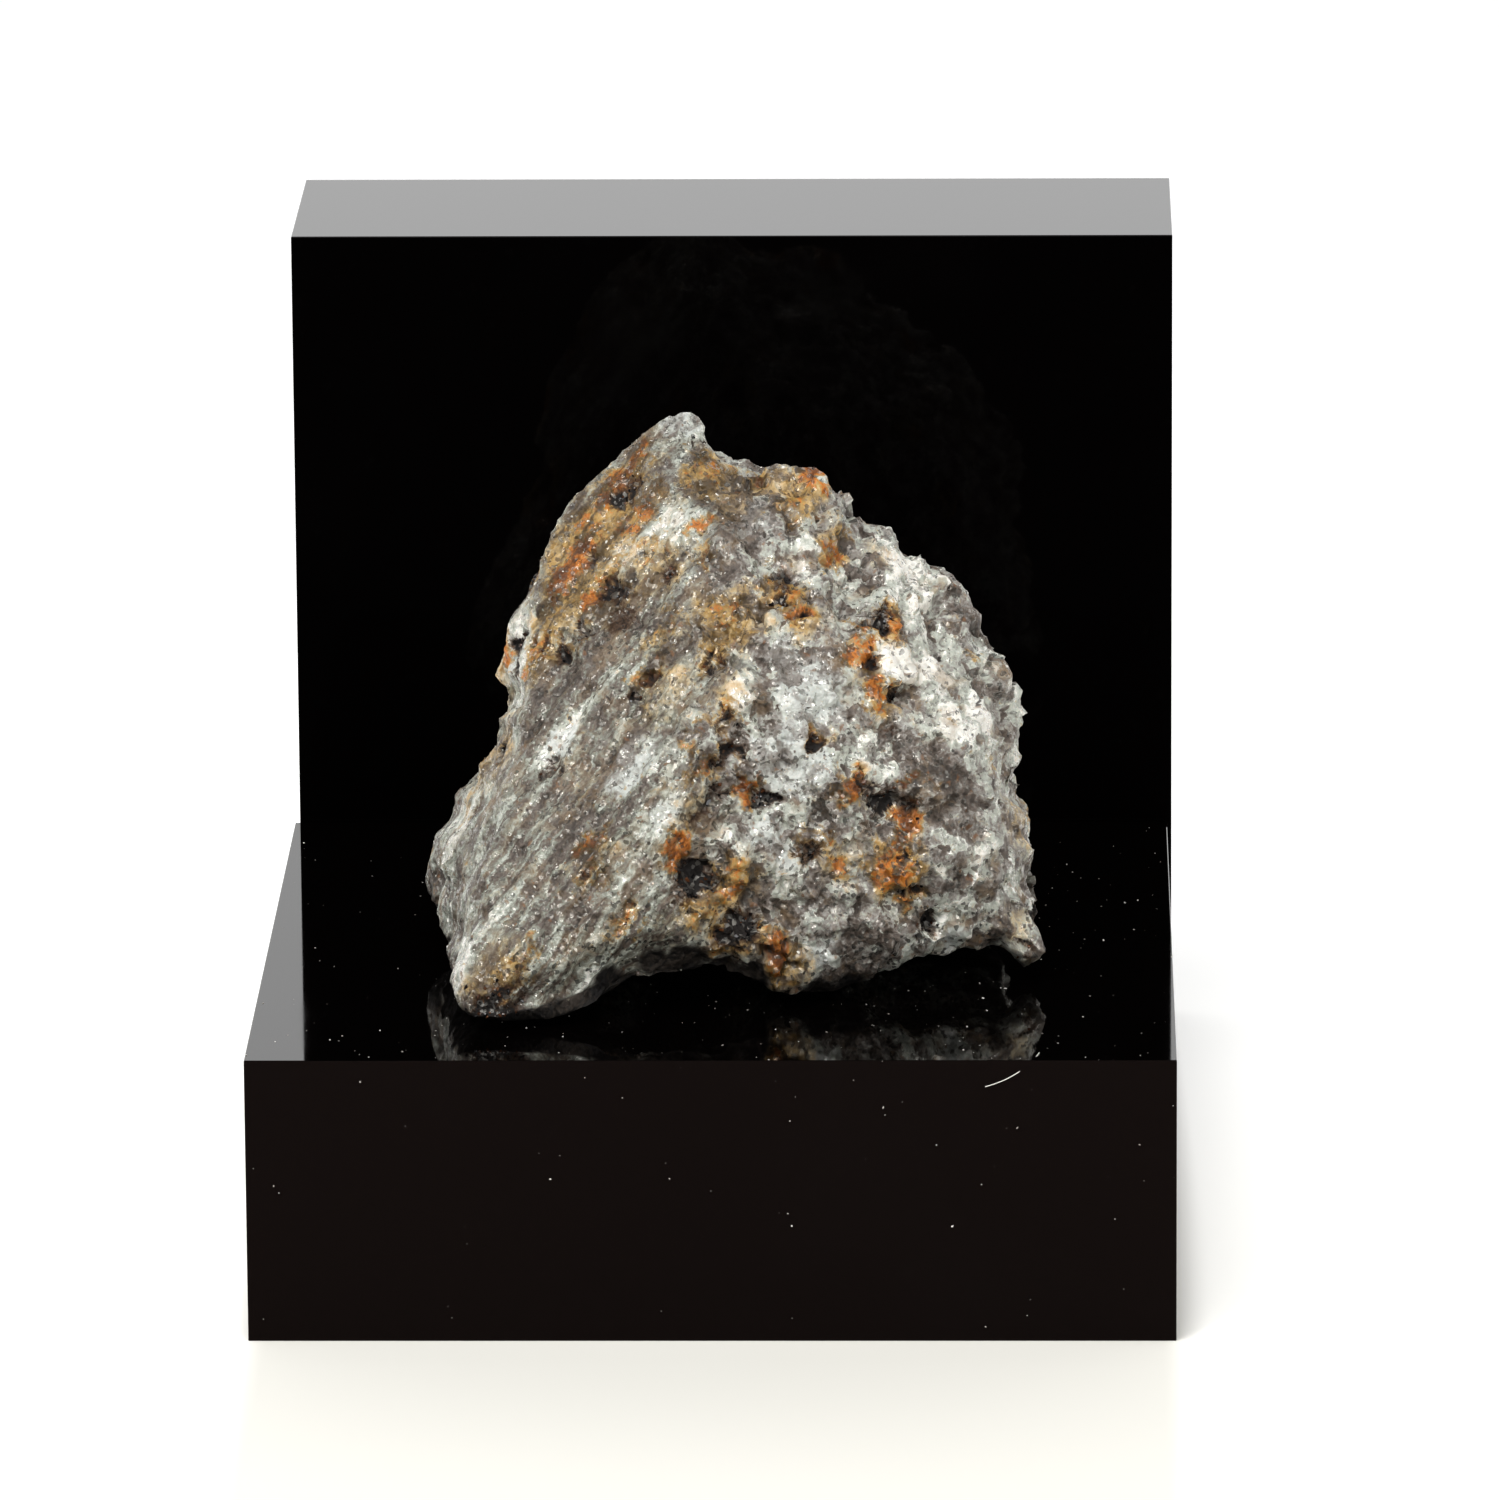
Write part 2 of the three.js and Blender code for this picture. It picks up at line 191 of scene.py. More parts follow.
WHITE_PATCHES = (
    (8.4, 10.4, 1.3, 1.1), (9.6, 9.0, 1.4, 0.9), (9.1, 7.6, 1.2, 0.7),
    (8.3, 4.8, 1.2, 1.6), (10.0, 4.2, 1.2, 1.6), (12.6, 1.9, 1.0, 1.6),
    (11.2, 1.0, 1.4, 0.8), (14.3, 3.8, 0.9, 0.8), (-0.6, 3.0, 0.9, 1.1),
    (7.0, -0.5, 1.0, 0.3), (-4.4, 12.0, 1.3, 0.8), (-6.0, 11.2, 1.2, 0.8),
    (-10.2, 0.5, 1.0, 0.8), (-6.4, -1.2, 0.8, 0.3), (-5.2, -3.8, 0.8, 0.3),
    (-15.9, -11.8, 1.2, 1.1), (-13.8, -9.6, 1.0, 0.5), (-3.4, 17.4, 1.2, 0.3),
    (-9.6, 14.6, 0.6, 1.0), (-13.6, 4.4, 0.9, 0.7), (3.8, -11.3, 0.9, 0.6),
    (11.2, -10.7, 0.9, 0.6), (15.9, -10.6, 0.7, 0.5),
)
SMOKY_PATCHES = (
    (10.4, -1.5, 1.6, 1.5), (11.6, -0.8, 0.9, 1.1), (12.6, -2.6, 1.2, 0.7),
    (4.2, -2.9, 1.5, 0.8), (10.5, 3.4, 0.9, 0.7), (1.9, 5.5, 1.4, 0.5),
    (0.3, 12.6, 1.8, 0.9), (-1.8, 14.2, 1.6, 0.6), (-7.2, 7.6, 1.3, 0.9),
    (-6.0, 6.4, 1.0, 0.6), (-4.8, 9.9, 0.9, 0.8), (-8.1, 5.2, 1.2, 0.5),
    (-9.0, -2.2, 1.8, 0.5), (-2.6, -3.8, 0.8, 1.0), (-16.2, -4.4, 1.5, 0.6),
    (-14.2, -7.0, 2.0, 0.4), (5.6, -11.8, 1.8, 0.8), (10.5, -8.0, 1.0, 0.4),
    (11.6, 7.6, 1.3, 0.5), (13.6, 6.2, 0.8, 0.5),
)
CLEAR_PATCHES = (
    (3.3, 3.2, 1.9, 1.0), (1.9, 5.2, 1.1, 0.8), (2.4, -0.4, 1.8, 1.4),
    (4.0, -1.4, 1.0, 0.7), (1.0, -4.6, 0.9, 0.9), (1.9, -5.8, 0.8, 0.8),
    (-6.5, -1.1, 1.3, 0.8), (-10.2, 0.4, 0.9, 0.9), (-4.6, -3.4, 1.0, 0.6),
    (-3.9, 18.2, 1.2, 0.8), (0.2, 12.8, 1.2, 0.6), (8.4, 1.0, 1.2, 0.5),
    (4.0, -11.2, 0.9, 0.8), (11.0, -10.4, 0.9, 0.7), (-13.4, 4.7, 0.8, 0.8),
)

# Each mask with its spots, and the number and largest radius, in mm, of those on the hidden side
MASKS = (
    ("pit", DARK_SPOTS, 22, 0.9),
    ("rust", RUST_STAINS, 34, 0.9),
    ("white", WHITE_PATCHES, 16, 2.0),
    ("ochre", OCHRE_WASHES, 12, 2.0),
    ("smoky", SMOKY_PATCHES, 14, 2.0),
    ("clear", CLEAR_PATCHES, 12, 2.0),
)

# Where the rock's outline bulges out or sinks in; here the strength is in mm.
BULGES = (
    (-3.0, 18.6, 0.6, 0.2), (-1.7, 17.6, 0.7, -0.7), (-1.0, 16.7, 0.7, -0.4),
    (3.8, 15.3, 0.8, 0.5), (4.9, 14.4, 0.6, -0.3), (6.2, 13.2, 0.8, -0.4),
    (8.2, 12.4, 0.9, -0.2), (9.0, 11.0, 0.7, -0.35), (11.4, 9.1, 0.9, 0.2),
    (13.4, 6.2, 0.9, -0.6), (13.9, 4.7, 0.6, 0.3), (14.5, 3.6, 0.8, 0.8),
    (15.2, -0.5, 1.1, -0.4), (15.0, -2.2, 0.8, -0.4), (16.4, -8.0, 1.8, -0.9),
    (15.6, -11.3, 1.0, 0.9), (-11.4, 11.6, 1.5, -0.3), (-7.7, 16.5, 1.3, -0.4),
    (-14.2, 4.6, 0.8, -0.3), (-13.6, 3.0, 0.8, -0.9), (-14.4, 0.6, 1.2, -0.6),
    (-15.5, -1.2, 1.0, -0.3), (-16.8, -3.4, 1.0, -0.3), (-17.1, -9.8, 0.9, -0.3),
    (13.8, -11.6, 0.9, -0.5), (10.2, -11.6, 0.9, 0.3), (-17.4, -5.4, 1.3, 0.3),
    (-5.5, -12.2, 1.4, -0.8), (-8.0, -13.2, 1.6, -1.1), (-11.2, -14.2, 1.4, -0.7),
    (1.9, -12.6, 1.2, 0.35), (-1.6, -13.0, 1.4, -0.5),
)

# Places near the block that are kept out of the painted shade: the rock's feet and the grains
# between them. They and the undercuts have no strength of their own.
UNSHADED_FEET = (
    (2.4, -11.6, 1.4), (6.6, -11.0, 2.0), (10.4, -11.0, 1.8),
    (15.0, -11.2, 0.9), (-1.0, -10.8, 0.9), (-6.6, -11.4, 1.2),
    (-13.0, -13.2, 1.0),
)

# Places under the rock's lower edge that are painted dark as shade.
UNDERCUTS = (
    (-13.6, -16.0, 0.9), (-12.2, -15.6, 1.0), (-10.2, -15.1, 1.1),
    (-8.6, -14.7, 1.1), (-7.4, -13.3, 0.8), (-6.6, -13.9, 0.9),
    (-4.8, -12.3, 0.8), (-4.2, -12.9, 1.0), (-3.5, -11.6, 0.8),
    (-1.6, -12.7, 0.8), (0.3, -12.5, 0.6), (3.8, -13.4, 0.8),
    (5.6, -13.3, 0.8),
)

# The stray fibre's course: mm right of the middle, behind the front edge, and above the top.
FIBRE = (
    (14.6, -0.05, -1.45),
    (15.7, -0.06, -1.15),
    (16.6, -0.08, -0.65),
    (17.2, -0.05, 0.02),
    (17.5, 1.30, 0.05),
)


def number(name, description, default, **kind):
    """A setting that is a number; kind holds its limits and its unit."""
    return bpy.props.FloatProperty(name=name, description=description, default=default, **kind)


def length(name, description, default):
    return number(name, description, default, min=0.0, unit="LENGTH")


def per_square_mm(name, description, default):
    return number(name, description, default, min=0.0)


def fraction(name, description, default):
    return number(name, description, default, min=0.0, max=1.0, subtype="FACTOR")


def angle(name, description, degrees):
    radians = math.radians(degrees)
    return number(name, description, radians, subtype="ANGLE", unit="ROTATION")


def tint(name, description, default):
    return bpy.props.FloatVectorProperty(
        name=name, description=description, default=default, subtype="COLOR")


class SpecimenRockSettings(bpy.types.PropertyGroup):
    """Sizes and colours of the rock"""

    streak_height: length("Streak height", "Depth of the mica layers' broken edges", 0.45 * MM)
    block_height: length("Block height", "Depth of the broken faces right of the ridge", 0.70 * MM)
    pit_depth: length("Pit depth", "Depth of the pits that dark crystals sit in", 0.5 * MM)
    pale_mica: tint("Pale mica", "Colour of the silky layers", (0.495, 0.515, 0.455))
    # In the layers' hollows this grey is painted shade.
    grey_mica: tint("Grey mica", "Colour of the layers in their hollows", (0.240, 0.245, 0.206))
    white_feldspar: tint("White feldspar", "Colour of the chalky patches", (0.84, 0.82, 0.76))
    smoky_quartz: tint("Smoky quartz", "Colour of the dark clear grains", (0.150, 0.121, 0.100))
    lilac_quartz: tint(
        "Lilac quartz", "Colour of the broken side's middle greys", (0.292, 0.270, 0.246))
    clear_quartz: tint(
        "Clear quartz", "Colour of the smooth, milky-clear patches", (0.58, 0.60, 0.575))
    tan_earth: tint("Tan", "Colour of the weathered brown areas", (0.32, 0.225, 0.13))
    rust_orange: tint("Rust", "Colour of the iron stains", (0.42, 0.135, 0.011))
    rust_ochre: tint("Ochre", "Colour of the thin edges of the iron stains", (0.33, 0.205, 0.060))


class SpecimenScatterSettings(bpy.types.PropertyGroup):
    """Counts and sizes of what is scattered over the rock"""

    flake_density: per_square_mm("Flakes per square mm", "Mica flakes on the layered side", 1.3)
    flake_width: length("Flake width", "Width of the largest mica flakes", 0.26 * MM)
    grain_density: per_square_mm("Grains per square mm", "Grains on the broken side", 0.22)
    grain_width: length("Grain width", "Width of the largest grains", 0.7 * MM)
    crystal_density: per_square_mm("Crystals per square mm", "Dark crystals in the pits", 9.0)
    crystal_width: length("Crystal width", "Width of the largest dark crystals", 0.42 * MM)
    seed: bpy.props.IntProperty(
        name="Seed", description="Changes where everything lands", default=7)


class SpecimenStandSettings(bpy.types.PropertyGroup):
    """Finish of the acrylic blocks"""

    # Both blocks are one acrylic: the lying block's lighter colour is painted light from the floor
    # below, and the standing block's darker one is painted shade.
    back_colour_shaded: tint("Back acrylic", "Colour of the standing block", (0.0012, 0.0008, 0.0008))
    base_colour_lit: tint("Base acrylic", "Colour of the lying block", (0.0100, 0.0070, 0.0064))
    base_shine: fraction("Base shine", "How strongly the lying block mirrors", 0.34)
    back_shine: fraction("Back shine", "How strongly the standing block mirrors", 0.12)
    polish: fraction("Roughness", "Roughness of the polished faces", 0.035)
    edge_break: length("Edge break", "Width of the blocks' polished edge breaks", 0.05 * MM)
    dust_width: length("Dust width", "Width of the largest specks of dust", 0.20 * MM)
    dust_density: per_square_mm("Dust per square mm", "Specks of dust where they lie closest", 0.55)
    fibre_width: length("Fibre width", "Width of the stray fibre", 0.06 * MM)
    seed: bpy.props.IntProperty(
        name="Seed", description="Changes where the dust lies", default=3)


class SpecimenStageSettings(bpy.types.PropertyGroup):
    """Camera, lights and floor"""

    camera_distance: length(
        "Camera distance", "From the camera to the point that it aims at", 700.985 * MM)
    camera_pitch: angle("Camera pitch", "How far the camera looks down", 14.462)
    camera_yaw: angle("Camera yaw", "How far the camera is turned to its left", 1.295)
    camera_roll: angle("Camera roll", "How far the camera leans", -0.388)
    camera_lens: number("Lens", "Focal length in mm, on a sensor 36 mm wide", 304.59)
    key_power: number("Key light", "Power of the softbox overhead", 1.9)
    fill_power: number("Fill light", "Power of the softbox in front", 0.7)
    spark_power: number("Small light", "Power of the light that makes the rock sparkle", 0.28)
    room_behind: number("Room behind", "Brightness of the room behind the specimen", 1.10)
    room_in_front: number("Room in front", "Brightness of the room behind the camera", 0.03)
    floor_colour: tint("Floor", "Colour of the floor", (0.90, 0.885, 0.825))


class Signal:
    """One output of a node. Arithmetic on it adds the Math nodes that work it out."""

    def __init__(self, nodes, node, socket):
        self.nodes = nodes
        self.node = node
        self.socket = socket

    def output(self, name):
        return Signal(self.nodes, self.node, self.nodes.find(self.node.outputs, name))

    def combine(self, operation, first, second):
        return self.nodes.add("ShaderNodeMath", {"operation": operation}, {0: first, 1: second})

    def __add__(self, other):
        return self.combine("ADD", self, other)

    def __radd__(self, other):
        return self.combine("ADD", other, self)

    def __sub__(self, other):
        return self.combine("SUBTRACT", self, other)

    def __rsub__(self, other):
        return self.combine("SUBTRACT", other, self)

    def __mul__(self, other):
        return self.combine("MULTIPLY", self, other)


class Nodes:
    """Adds nodes to one tree."""

    def __init__(self, tree):
        self.tree = tree
        tree.nodes.clear()

    @staticmethod
    def find(sockets, key):
        if isinstance(key, int):
            return sockets[key]
        return next(s for s in sockets if s.enabled and s.name == key)

    def add(self, kind, settings=None, sockets=None):
        """Adds a node, sets it up, then gives its sockets values or links."""
        node = self.tree.nodes.new(kind)
        for name, value in (settings or {}).items():
            setattr(node, name, value)
        for key, value in (sockets or {}).items():
            socket = self.find(node.inputs, key)
            if isinstance(value, Signal):
                self.tree.links.new(value.socket, socket)
            elif socket.type == "RGBA" and len(value) == 3:
                socket.default_value = (*value, 1.0)
            else:
                socket.default_value = value
        shown = next((s for s in node.outputs if s.enabled), None)
        return Signal(self, node, shown)

    def attribute(self, name, kind="FLOAT"):
        if self.tree.type == "GEOMETRY":
            settings = {"data_type": kind}
            return self.add("GeometryNodeInputNamedAttribute", settings, {"Name": name})
        signal = self.add("ShaderNodeAttribute", {"attribute_name": name})
        return signal.output("Vector" if kind == "FLOAT_VECTOR" else "Fac")

    def vector(self, operation, *inputs, **named):
        sockets = dict(enumerate(inputs)) | named
        return self.add("ShaderNodeVectorMath", {"operation": operation}, sockets)

    def dot(self, first, second):
        return self.vector("DOT_PRODUCT", first, tuple(second)).output("Value")

    def scaled(self, vector, factor):
        """A vector made longer or shorter, or a colour made lighter or darker."""
        return self.vector("SCALE", vector, Scale=factor)

    def centred(self, vector):
        """Shares from 0 to 1, moved to lie about 0."""
        return self.vector("SUBTRACT", vector, (0.5, 0.5, 0.5))

    def part(self, vector, axis):
        """One coordinate of a vector."""
        return self.add("ShaderNodeSeparateXYZ", {}, {"Vector": vector}).output(axis)

    def channel(self, colour, name):
        """One channel of a colour."""
        return self.add("ShaderNodeSeparateColor", {}, {"Color": colour}).output(name)

    def mesh_of(self, thing):
        settings = {"transform_space": "ORIGINAL"}
        return self.add("GeometryNodeObjectInfo", settings, {"Object": thing}).output("Geometry")

    def random(self, low, high, seed):
        """A random number or vector at each point."""
        kind = "FLOAT_VECTOR" if isinstance(low, tuple) else "FLOAT"
        return self.add("FunctionNodeRandomValue", {"data_type": kind}, {
            "Min": low, "Max": high, "Seed": seed})

    def noise(self, place, scale, detail=2.0, roughness=0.5):
        sockets = {"Vector": place, "Scale": scale, "Detail": detail, "Roughness": roughness}
        return self.add("ShaderNodeTexNoise", {}, sockets).output(0)

    def cells(self, place, scale, feature="F1"):
        sockets = {"Vector": place, "Scale": scale}
        return self.add("ShaderNodeTexVoronoi", {"feature": feature}, sockets)

    def between(self, value, low, high):
        """Rises smoothly from 0 to 1 while value goes from low to high."""
        sockets = {"Value": value, "From Min": low, "From Max": high}
        return self.add("ShaderNodeMapRange", {"interpolation_type": "SMOOTHSTEP"}, sockets)

    def mixed(self, factor, first, second):
        """A colour that goes from the first to the second."""
        sockets = {"Factor": factor, "A": first, "B": second}
        return self.add("ShaderNodeMix", {"data_type": "RGBA"}, sockets)


def select_only(thing):
    bpy.ops.object.select_all(action="DESELECT")
    thing.select_set(True)
    bpy.context.view_layer.objects.active = thing


def apply_modifiers(thing):
    select_only(thing)
    for modifier in list(thing.modifiers):
        bpy.ops.object.modifier_apply(modifier=modifier.name)


def geometry_modifier(thing, name):
    """Adds a Geometry Nodes modifier with an empty tree; gives its nodes and its geometry."""
    tree = bpy.data.node_groups.new(name, "GeometryNodeTree")
    tree.interface.new_socket("Geometry", in_out="INPUT", socket_type="NodeSocketGeometry")
    tree.interface.new_socket("Geometry", in_out="OUTPUT", socket_type="NodeSocketGeometry")
    modifier = thing.modifiers.new(name, "NODES")
    modifier.node_group = tree
    nodes = Nodes(tree)
    return nodes, nodes.add("NodeGroupInput")


def new_material(name):
    material = bpy.data.materials.new(name)
    material.use_nodes = True
    return material, Nodes(material.node_tree)


def finish_material(material, nodes, sockets, settings=None):
    """Ends a material in one glossy shader, and gives the material back."""
    shader = nodes.add("ShaderNodeBsdfPrincipled", settings, sockets)
    nodes.add("ShaderNodeOutputMaterial", {}, {"Surface": shader})
    return material


def give_material(thing, material):
    thing.data.materials.clear()
    thing.data.materials.append(material)


def dress(piece, material):
    """Gives a piece its material, and says what it rides on."""
    give_material(piece, material)
    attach(piece, "root")


def camera_matrix(settings):
    """Where the camera stands and how it is turned."""
    turn = (Matrix.Rotation(settings.camera_yaw, 4, "Z")
            @ Matrix.Rotation(math.pi / 2 - settings.camera_pitch, 4, "X")
            @ Matrix.Rotation(settings.camera_roll, 4, "Z"))
    back_off = turn @ Vector((0.0, 0.0, settings.camera_distance))
    return Matrix.Translation(CAMERA_AIM + back_off) @ turn


def places_on_front(surface, spots):
    """The spots' places on the surface, as seen from the camera."""
    settings = bpy.context.scene.specimen_stage
    matrix = camera_matrix(settings)
    eye = matrix.translation
    places = []
    for right, up, radius, strength in spots:
        seen = matrix @ Vector((right * MM, up * MM, -settings.camera_distance))
        place = surface.ray_cast(eye, (seen - eye).normalized())[0]
        if place is not None:
            places.append((place, radius * MM, strength))
    return places


def ragged(points):
    """The points moved about by some tenths of a mm, so that round spots get ragged edges."""
    noise.seed_set(RAGGED_SEED)
    moves = [noise.noise_vector(Vector(p) / MM * 1.1) * 0.7
             + noise.noise_vector(Vector(p) / MM * 3.1) * 0.45 for p in points]
    return points + np.array(moves) * MM


def as_seen(points):
    """The points' places in the picture, in mm right of and above its middle."""
    settings = bpy.context.scene.specimen_stage
    seen = np.array(camera_matrix(settings).inverted())
    places = points @ seen[:3, :3].T + seen[:3, 3]
    return places[:, :2] * (settings.camera_distance / -places[:, 2:]) / MM


def places_behind(points, normals, count, radii, strengths):
    """Random places on the side that the picture doesn't show."""
    rng = np.random.default_rng(HIDDEN_SIDE_SEED)
    hidden = np.flatnonzero((normals[:, 1] > 0.2) | (normals[:, 0] < -0.8))
    chosen = rng.choice(hidden, count, replace=False)
    return [(points[i], rng.uniform(*radii) * MM, rng.uniform(*strengths)) for i in chosen]


def spot_strengths(points, places, layered):
    """For each point, the share of the spot that is strongest there.

    A spot has its full strength in its middle and fades out at its reach. Spots in the layered
    rock are drawn out along the layers.
    """
    along = np.array(STREAKS_ALONG)
    strengths = np.zeros(len(points))
    for place, radius, strength in places:
        offset = points - np.array(place)
        offset -= np.outer((offset @ along) * layered * 0.45, along)
        distance = np.linalg.norm(offset, axis=1) / radius * (1 + layered * 0.15)
        share = np.clip(SPOT_REACH - distance, 0.0, 1.0) * strength
        strengths = np.maximum(strengths, share)
    return strengths


def nearness(seen, right, up, radius, reach=SPOT_REACH):
    """How near each point seen lies to a spot: reach in its middle, 1 less per radius away."""
    return reach - np.linalg.norm(seen - (right, up), axis=1) / radius


def streak_place(nodes, place):
    """Coordinates in which a round noise becomes streaks along the mica layers."""
    along = nodes.dot(place, STREAKS_ALONG) * 0.10
    across = nodes.dot(place, LAYERS_ACROSS)
    third = nodes.dot(place, STREAKS_THIRD) * 0.4
    return nodes.add("ShaderNodeCombineXYZ", {}, {"X": along, "Y": across, "Z": third})


def warped(nodes, place):
    """The place pushed about by noise, which bends straight cell borders."""
    push = nodes.add("ShaderNodeTexNoise", {}, {
        "Vector": place, "Scale": 1.2, "Detail": 3.0, "Roughness": 0.6}).output("Color")
    return nodes.vector("ADD", place, nodes.scaled(nodes.centred(push), 1.2))


def tilted_faces(nodes, place, scale):
    """Height of broken faces, each of its own tilt, in shares of the blocks' size."""
    cells = nodes.cells(place, scale)
    offset = nodes.vector("SUBTRACT", nodes.scaled(place, scale), nodes.scaled(
        cells.output("Position"), scale))
    tilt = nodes.centred(cells.output("Color"))
    return nodes.vector("DOT_PRODUCT", offset, tilt).output("Value")


def relieve(rock, settings):
    """Breaks up the rock's surface with streaks, tilted faces and pits."""
    nodes, geometry = geometry_modifier(rock, "relief")
    place = nodes.attribute("rest", "FLOAT_VECTOR")
    layered = nodes.attribute("layered")
    clear = nodes.attribute("clear")
    streaks = streak_place(nodes, place)
    streak = nodes.noise(streaks, 1.6, 3.0, 0.55) - 0.5
    broad_streak = nodes.noise(streaks, 0.6) - 0.5
    bent = warped(nodes, place)
    blocks = tilted_faces(nodes, bent, 0.62)
    small_blocks = tilted_faces(nodes, bent, 1.7)
    lumps = nodes.noise(place, 0.7, 4.0, 0.62) - 0.5
    crumbs = nodes.noise(place, 2.4, 3.0, 0.65) - 0.5
    bare = 1 - clear * 0.6
    height = ((streak + broad_streak) * layered * settings.streak_height
              + (blocks + small_blocks * 0.22) * (1 - layered * 0.8) * settings.block_height
              + lumps * (1 - layered * 0.5) * 0.6 * MM
              + crumbs * bare * (1 - layered * 0.6) * 0.12 * MM
              + nodes.attribute("white") * 0.12 * MM)
    raised = nodes.add("GeometryNodeStoreNamedAttribute", {"data_type": "FLOAT"}, {
        "Geometry": geometry, "Name": "raised", "Value": height * (1 / MM)})
    height = (height + nodes.attribute("bulge") * MM
              - nodes.attribute("pit") * settings.pit_depth)
    height = height * nodes.attribute("free")
    normal = nodes.add("GeometryNodeInputNormal")
    moved = nodes.vector("ADD", nodes.add("GeometryNodeInputPosition"),
                         nodes.scaled(normal, height))
    lowest = (-1.0, -1.0, ROCK_ORIGIN.z + REST_GAP)
    relieved = nodes.add("GeometryNodeSetPosition", {}, {
        "Geometry": raised, "Position": nodes.vector("MAXIMUM", moved, lowest)})
    nodes.add("NodeGroupOutput", {}, {"Geometry": relieved})
    apply_modifiers(rock)


def store(mesh, name, values, kind="FLOAT"):
    attribute = mesh.attributes.new(name, kind, "POINT")
    field = "vector" if kind == "FLOAT_VECTOR" else "value"
    attribute.data.foreach_set(field, np.ascontiguousarray(values, dtype=np.float32).ravel())


def vectors_of(mesh, field):
    """The vertices' places ("co") or normals ("normal")."""
    vectors = np.empty(len(mesh.vertices) * 3, dtype=np.float32)
    mesh.vertices.foreach_get(field, vectors)
    return vectors.reshape(-1, 3).astype(float)


def surface_of(thing):
    mesh = thing.data
    return BVHTree.FromPolygons([v.co for v in mesh.vertices], [p.vertices for p in mesh.polygons])


def paint_masks(rock):
    """Stores where the rock is layered, pitted, stained or pale, for its relief and its colour."""
    mesh = rock.data
    points = vectors_of(mesh, "co")
    normals = vectors_of(mesh, "normal")
    surface = surface_of(rock)
    local = (points - np.array(ROCK_ORIGIN)) / MM
    waver = (np.sin(local[:, 2] * 0.9 + 1.0) + np.sin(local[:, 1] * 1.3 + local[:, 2] * 0.5)) * 0.9
    layered = np.clip((1.6 - local[:, 0] - waver) / 4.0, 0.0, 1.0)
    store(mesh, "rest", local, "FLOAT_VECTOR")
    store(mesh, "layered", layered)
    moved = ragged(points)
    for name, spots, count_behind, widest in MASKS:
        places = places_on_front(surface, spots)
        places += places_behind(points, normals, count_behind, (0.4, widest), (0.6, 1.2))
        store(mesh, name, spot_strengths(moved, places, layered))
    paint_edges(mesh, as_seen(points), local[:, 2], normals[:, 2])


def paint_edges(mesh, seen, height, upward):
    """Stores where the outline bulges, where shade is painted under the rock, and what is free to
    move.

    seen are the vertices' places in the picture, height is counted in mm from the block, and
    upward is how far the surface looks up.
    """
    bulge = np.zeros(len(seen))
    for *spot, rise in BULGES:
        bulge += np.clip(nearness(seen, *spot), 0.0, 1.0) * rise
    store(mesh, "bulge", bulge)
    foot = np.zeros(len(seen))
    for spot in UNSHADED_FEET:
        foot = np.maximum(foot, np.clip(nearness(seen, *spot, reach=2.0), 0.0, 0.85))
    # Painted shade: faces that look down, low on the rock and away from its feet, and the undercuts
    underside = np.clip(-upward * 1.6, 0.0, 0.85) * (1 - foot)
    underside *= np.clip((5.0 - height) / 2.0, 0.0, 1.0)
    for spot in UNDERCUTS:
        underside = np.maximum(underside, np.clip(nearness(seen, *spot), 0.0, 1.0))
    store(mesh, "underside", underside)
    store(mesh, "free", np.clip(height / 1.5, 0.12, 1.0))


